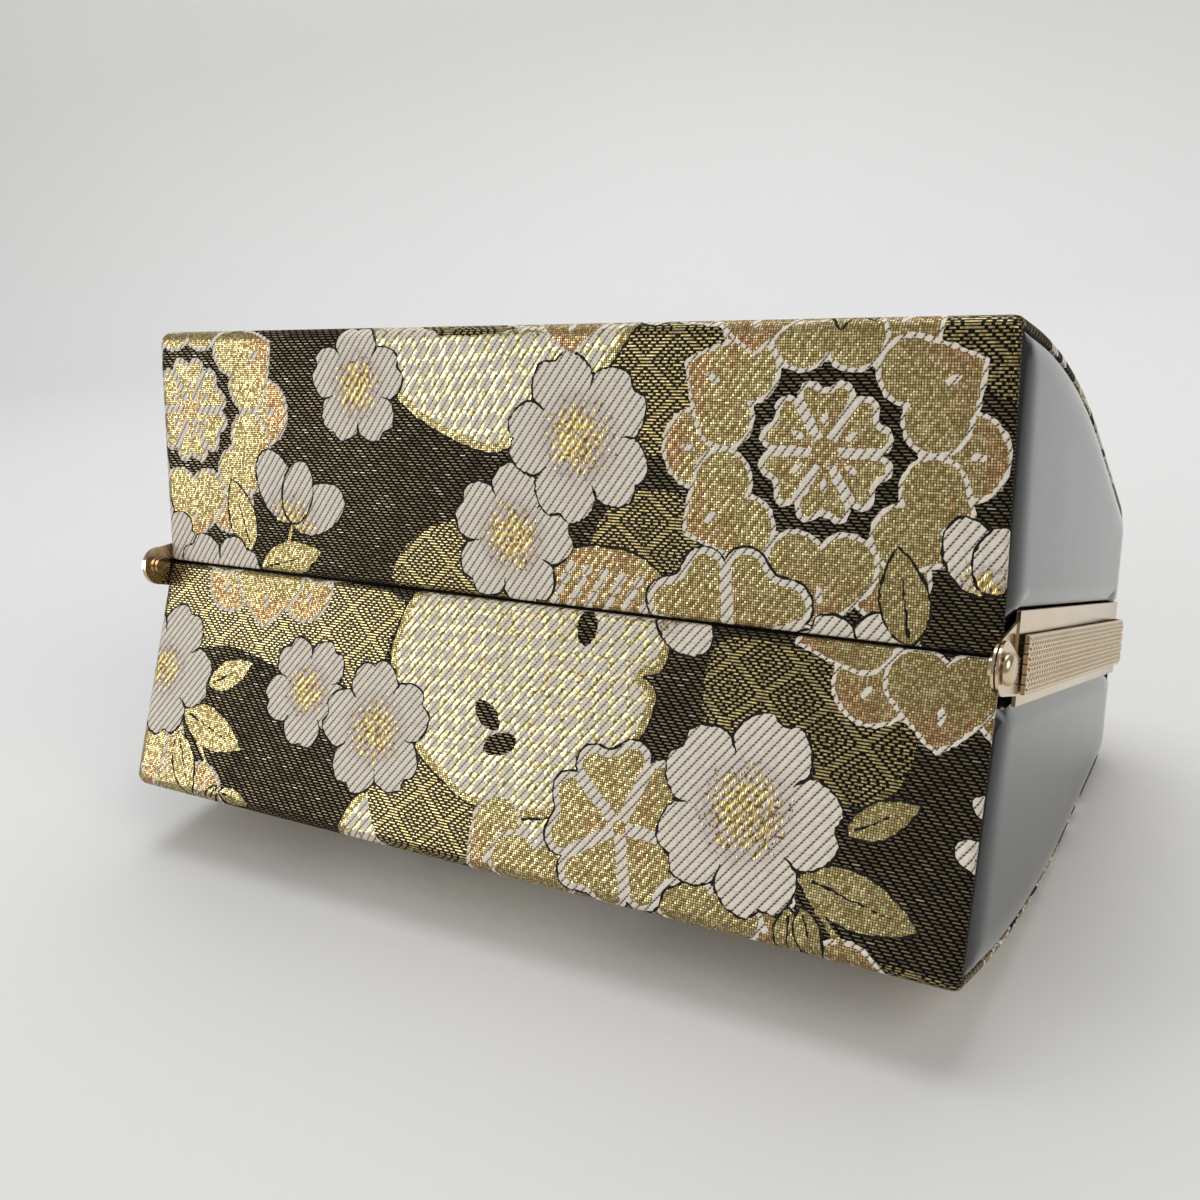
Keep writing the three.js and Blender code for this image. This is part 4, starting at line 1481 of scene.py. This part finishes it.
DROOP = math.asin((floor_height(*HANDLE_EYE) - HANDLE_RADIUS - FIT) / HANDLE_RISE)
HANDLE_TURN = TILT - DROOP


def on_handle(x, out, up):
    """Handle points (across, out of the arch's plane, up the arch) to standing millimetres."""
    y = HANDLE_EYE[0] + out * math.cos(HANDLE_TURN) - up * math.sin(HANDLE_TURN)
    z = HANDLE_EYE[1] + out * math.sin(HANDLE_TURN) + up * math.cos(HANDLE_TURN)
    return np.stack([x, y, z], -1)


def handle_grip():
    """The leather grip, with its seam sunk along the inside of the arch."""
    path = handle_path()
    tangent = np.gradient(path)
    tangent = tangent / np.abs(tangent)
    inner = tangent * -1j  # towards the inside of the arch
    run = np.concatenate([[0.0], np.cumsum(np.abs(np.diff(path)))])
    angles = np.linspace(0, 2 * math.pi, ROUND, endpoint=False)
    lumps = LUMPS * np.sin(run / 5.1 + np.sin(run / 13.0))[:, None] * np.cos(2 * angles)[None, :]
    seam = SEAM_DEPTH * np.exp(-((np.minimum(angles, 2 * math.pi - angles) / SEAM_WIDTH) ** 2))
    radius = HANDLE_RADIUS - LEATHER_GAP + lumps - seam[None, :]
    spot = path[:, None] + inner[:, None] * radius * np.cos(angles)[None, :]
    out = radius * np.sin(angles)[None, :]
    points = on_handle(spot.real, out, spot.imag).reshape(-1, 3)
    faces = grid_faces(len(path), ROUND, closed=True)
    faces.append(list(range(ROUND))[::-1])
    faces.append(list(range((len(path) - 1) * ROUND, len(path) * ROUND)))
    piece = build("handle_grip_leather", points, faces, [LEATHER], "handle")
    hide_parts("handle_grip")
    handle_stitches(path, inner, run)


def handle_stitches(path, inner, run):
    """A row of stitches each side of the seam."""
    stitches, quads = [], []
    for side in (-1, 1):
        for distance in np.arange(STITCH_ENDS[0], run[-1] - STITCH_ENDS[1], STITCH_PITCH):
            start = len(stitches)
            for share, thick in ((0.0, 0.02), (0.2, 0.2), (0.8, 0.2), (1.0, 0.02)):
                here = distance + share * STITCH_SHARE * STITCH_PITCH
                centre = complex(np.interp(here, run, path.real), np.interp(here, run, path.imag))
                way = complex(np.interp(here, run, inner.real), np.interp(here, run, inner.imag))
                level = HANDLE_RADIUS + (STITCH_TOP if 0 < share < 1 else STITCH_SUNK)
                for k in range(STITCH_SIDES):
                    a = 2 * math.pi * k / STITCH_SIDES
                    reach = level + thick * math.cos(a)
                    lean = side * STITCH_LEAN + thick * math.sin(a) / HANDLE_RADIUS
                    spot = centre + way * reach * math.cos(lean)
                    stitches.append(on_handle(spot.real, reach * math.sin(lean), spot.imag))
            quads += grid_faces(4, STITCH_SIDES, start, closed=True)
    build("handle_stitches", np.array(stitches), quads, [STITCH], "handle")


handle_grip()

# Camera: fitted to the corners of the bag's underside in the photograph

CAMERA_SPOT = (0.16469, -0.29438, 0.16997)
CAMERA_RIGHT = (0.84978, 0.52191, 0.07407)
CAMERA_DOWN = (0.09578, -0.01469, -0.99529)
CAMERA_AHEAD = (-0.51836, 0.85288, -0.06247)
LENS = 37.8


def from_bag(direction):
    """(width, height, depth to the front) to row directions."""
    width, height, depth = direction
    return Vector((
        width,
        height * math.cos(TILT) + depth * math.sin(TILT),
        -height * math.sin(TILT) + depth * math.cos(TILT),
    ))


camera_data = bpy.data.cameras.new("camera")
camera_data.lens = LENS
camera_data.sensor_width = 36.0
camera_data.clip_start = 0.01
camera = add_object("camera", camera_data)
columns = [from_bag(CAMERA_RIGHT), -from_bag(CAMERA_DOWN), -from_bag(CAMERA_AHEAD)]
camera.matrix_world = Matrix.Translation(CAMERA_SPOT) @ Matrix(columns).transposed().to_4x4()
bpy.context.scene.camera = camera

# Floor and backdrop, one pale sweep

WALL_START = Vector((-0.996, 0.443, 0.0))
WALL_END = Vector((0.019, 0.872, 0.0))
WALL_SETBACK = 0.12
WALL_HEIGHT = 3.0
SWEEP_RADIUS = 0.25
SWEEP_STEPS = 12
SWEEP_ENDS = (-4.0, 5.0)
FLOOR_DEPTH = 4.0


def paper_material():
    graph = Graph("pale_paper")
    where = graph.place()
    tooth = graph.noise(300.0, 4.0, where)
    tone = graph.noise(3.0, 2.0, where)
    graph.set(Base_Color=graph.mix(tone, (0.75, 0.75, 0.745), (0.785, 0.785, 0.78)), Roughness=0.75)
    graph.bump(tooth, 0.0001)
    return graph.material


def sweep():
    """A floor that curves up into a wall."""
    along = (WALL_END - WALL_START).normalized()
    across = Vector((-along.y, along.x, 0.0))
    profile = [(-FLOOR_DEPTH, 0.0)]
    for i in range(SWEEP_STEPS + 1):
        a = math.pi / 2 * i / SWEEP_STEPS
        profile.append((SWEEP_RADIUS * (math.sin(a) - 1), SWEEP_RADIUS * (1 - math.cos(a))))
    profile.append((0.0, WALL_HEIGHT))
    verts, faces = [], []
    for reach in SWEEP_ENDS:
        for back, up in profile:
            spot = WALL_START + along * reach + across * (back + WALL_SETBACK)
            verts.append((spot.x, spot.y, up))
    count = len(profile)
    for i in range(count - 1):
        faces.append((i, i + 1, count + i + 1, count + i))
    mesh = bpy.data.meshes.new("studio_sweep")
    mesh.from_pydata(verts, [], faces)
    mesh.polygons.foreach_set("use_smooth", [True] * len(faces))
    mesh.materials.append(paper_material())
    add_object("studio_sweep", mesh)


sweep()


def area_light(name, spot, target, size, power, colour):
    data = bpy.data.lights.new(name, "AREA")
    data.shape = "DISK"
    data.size = size
    data.energy = power
    data.color = colour
    light = add_object(name, data)
    light.location = spot
    aim = Vector(target) - Vector(spot)
    light.rotation_euler = aim.to_track_quat("-Z", "Y").to_euler()
    return light


SKY_TARGET = (0, 0, 0.05)
BAG_TARGET = (0, 0, 0.06)
area_light("sky_light", (-0.2, 0.45, 1.3), SKY_TARGET, size=1.2, power=11.5, colour=(0.96, 0.98, 1.0))
area_light("window_light", (-1.0, -0.9, 0.42), BAG_TARGET, size=0.6, power=5, colour=(1.0, 0.985, 0.95))
area_light("right_fill", (1.0, -0.4, 0.8), BAG_TARGET, size=0.9, power=5.5, colour=(1.0, 0.95, 0.87))
# A white card at the left that only shows in glossy reflections
card = area_light("left_card", (-0.95, -0.85, 0.3), BAG_TARGET, size=0.7, power=9, colour=(1.0, 0.99, 0.94))
card.visible_diffuse = False

world = bpy.data.worlds.new("studio")
world.use_nodes = True
background = world.node_tree.nodes["Background"]
background.inputs["Color"].default_value = (0.86, 0.87, 0.88, 1.0)
background.inputs["Strength"].default_value = 0.32
bpy.context.scene.world = world
bpy.context.scene.view_settings.view_transform = "Standard"
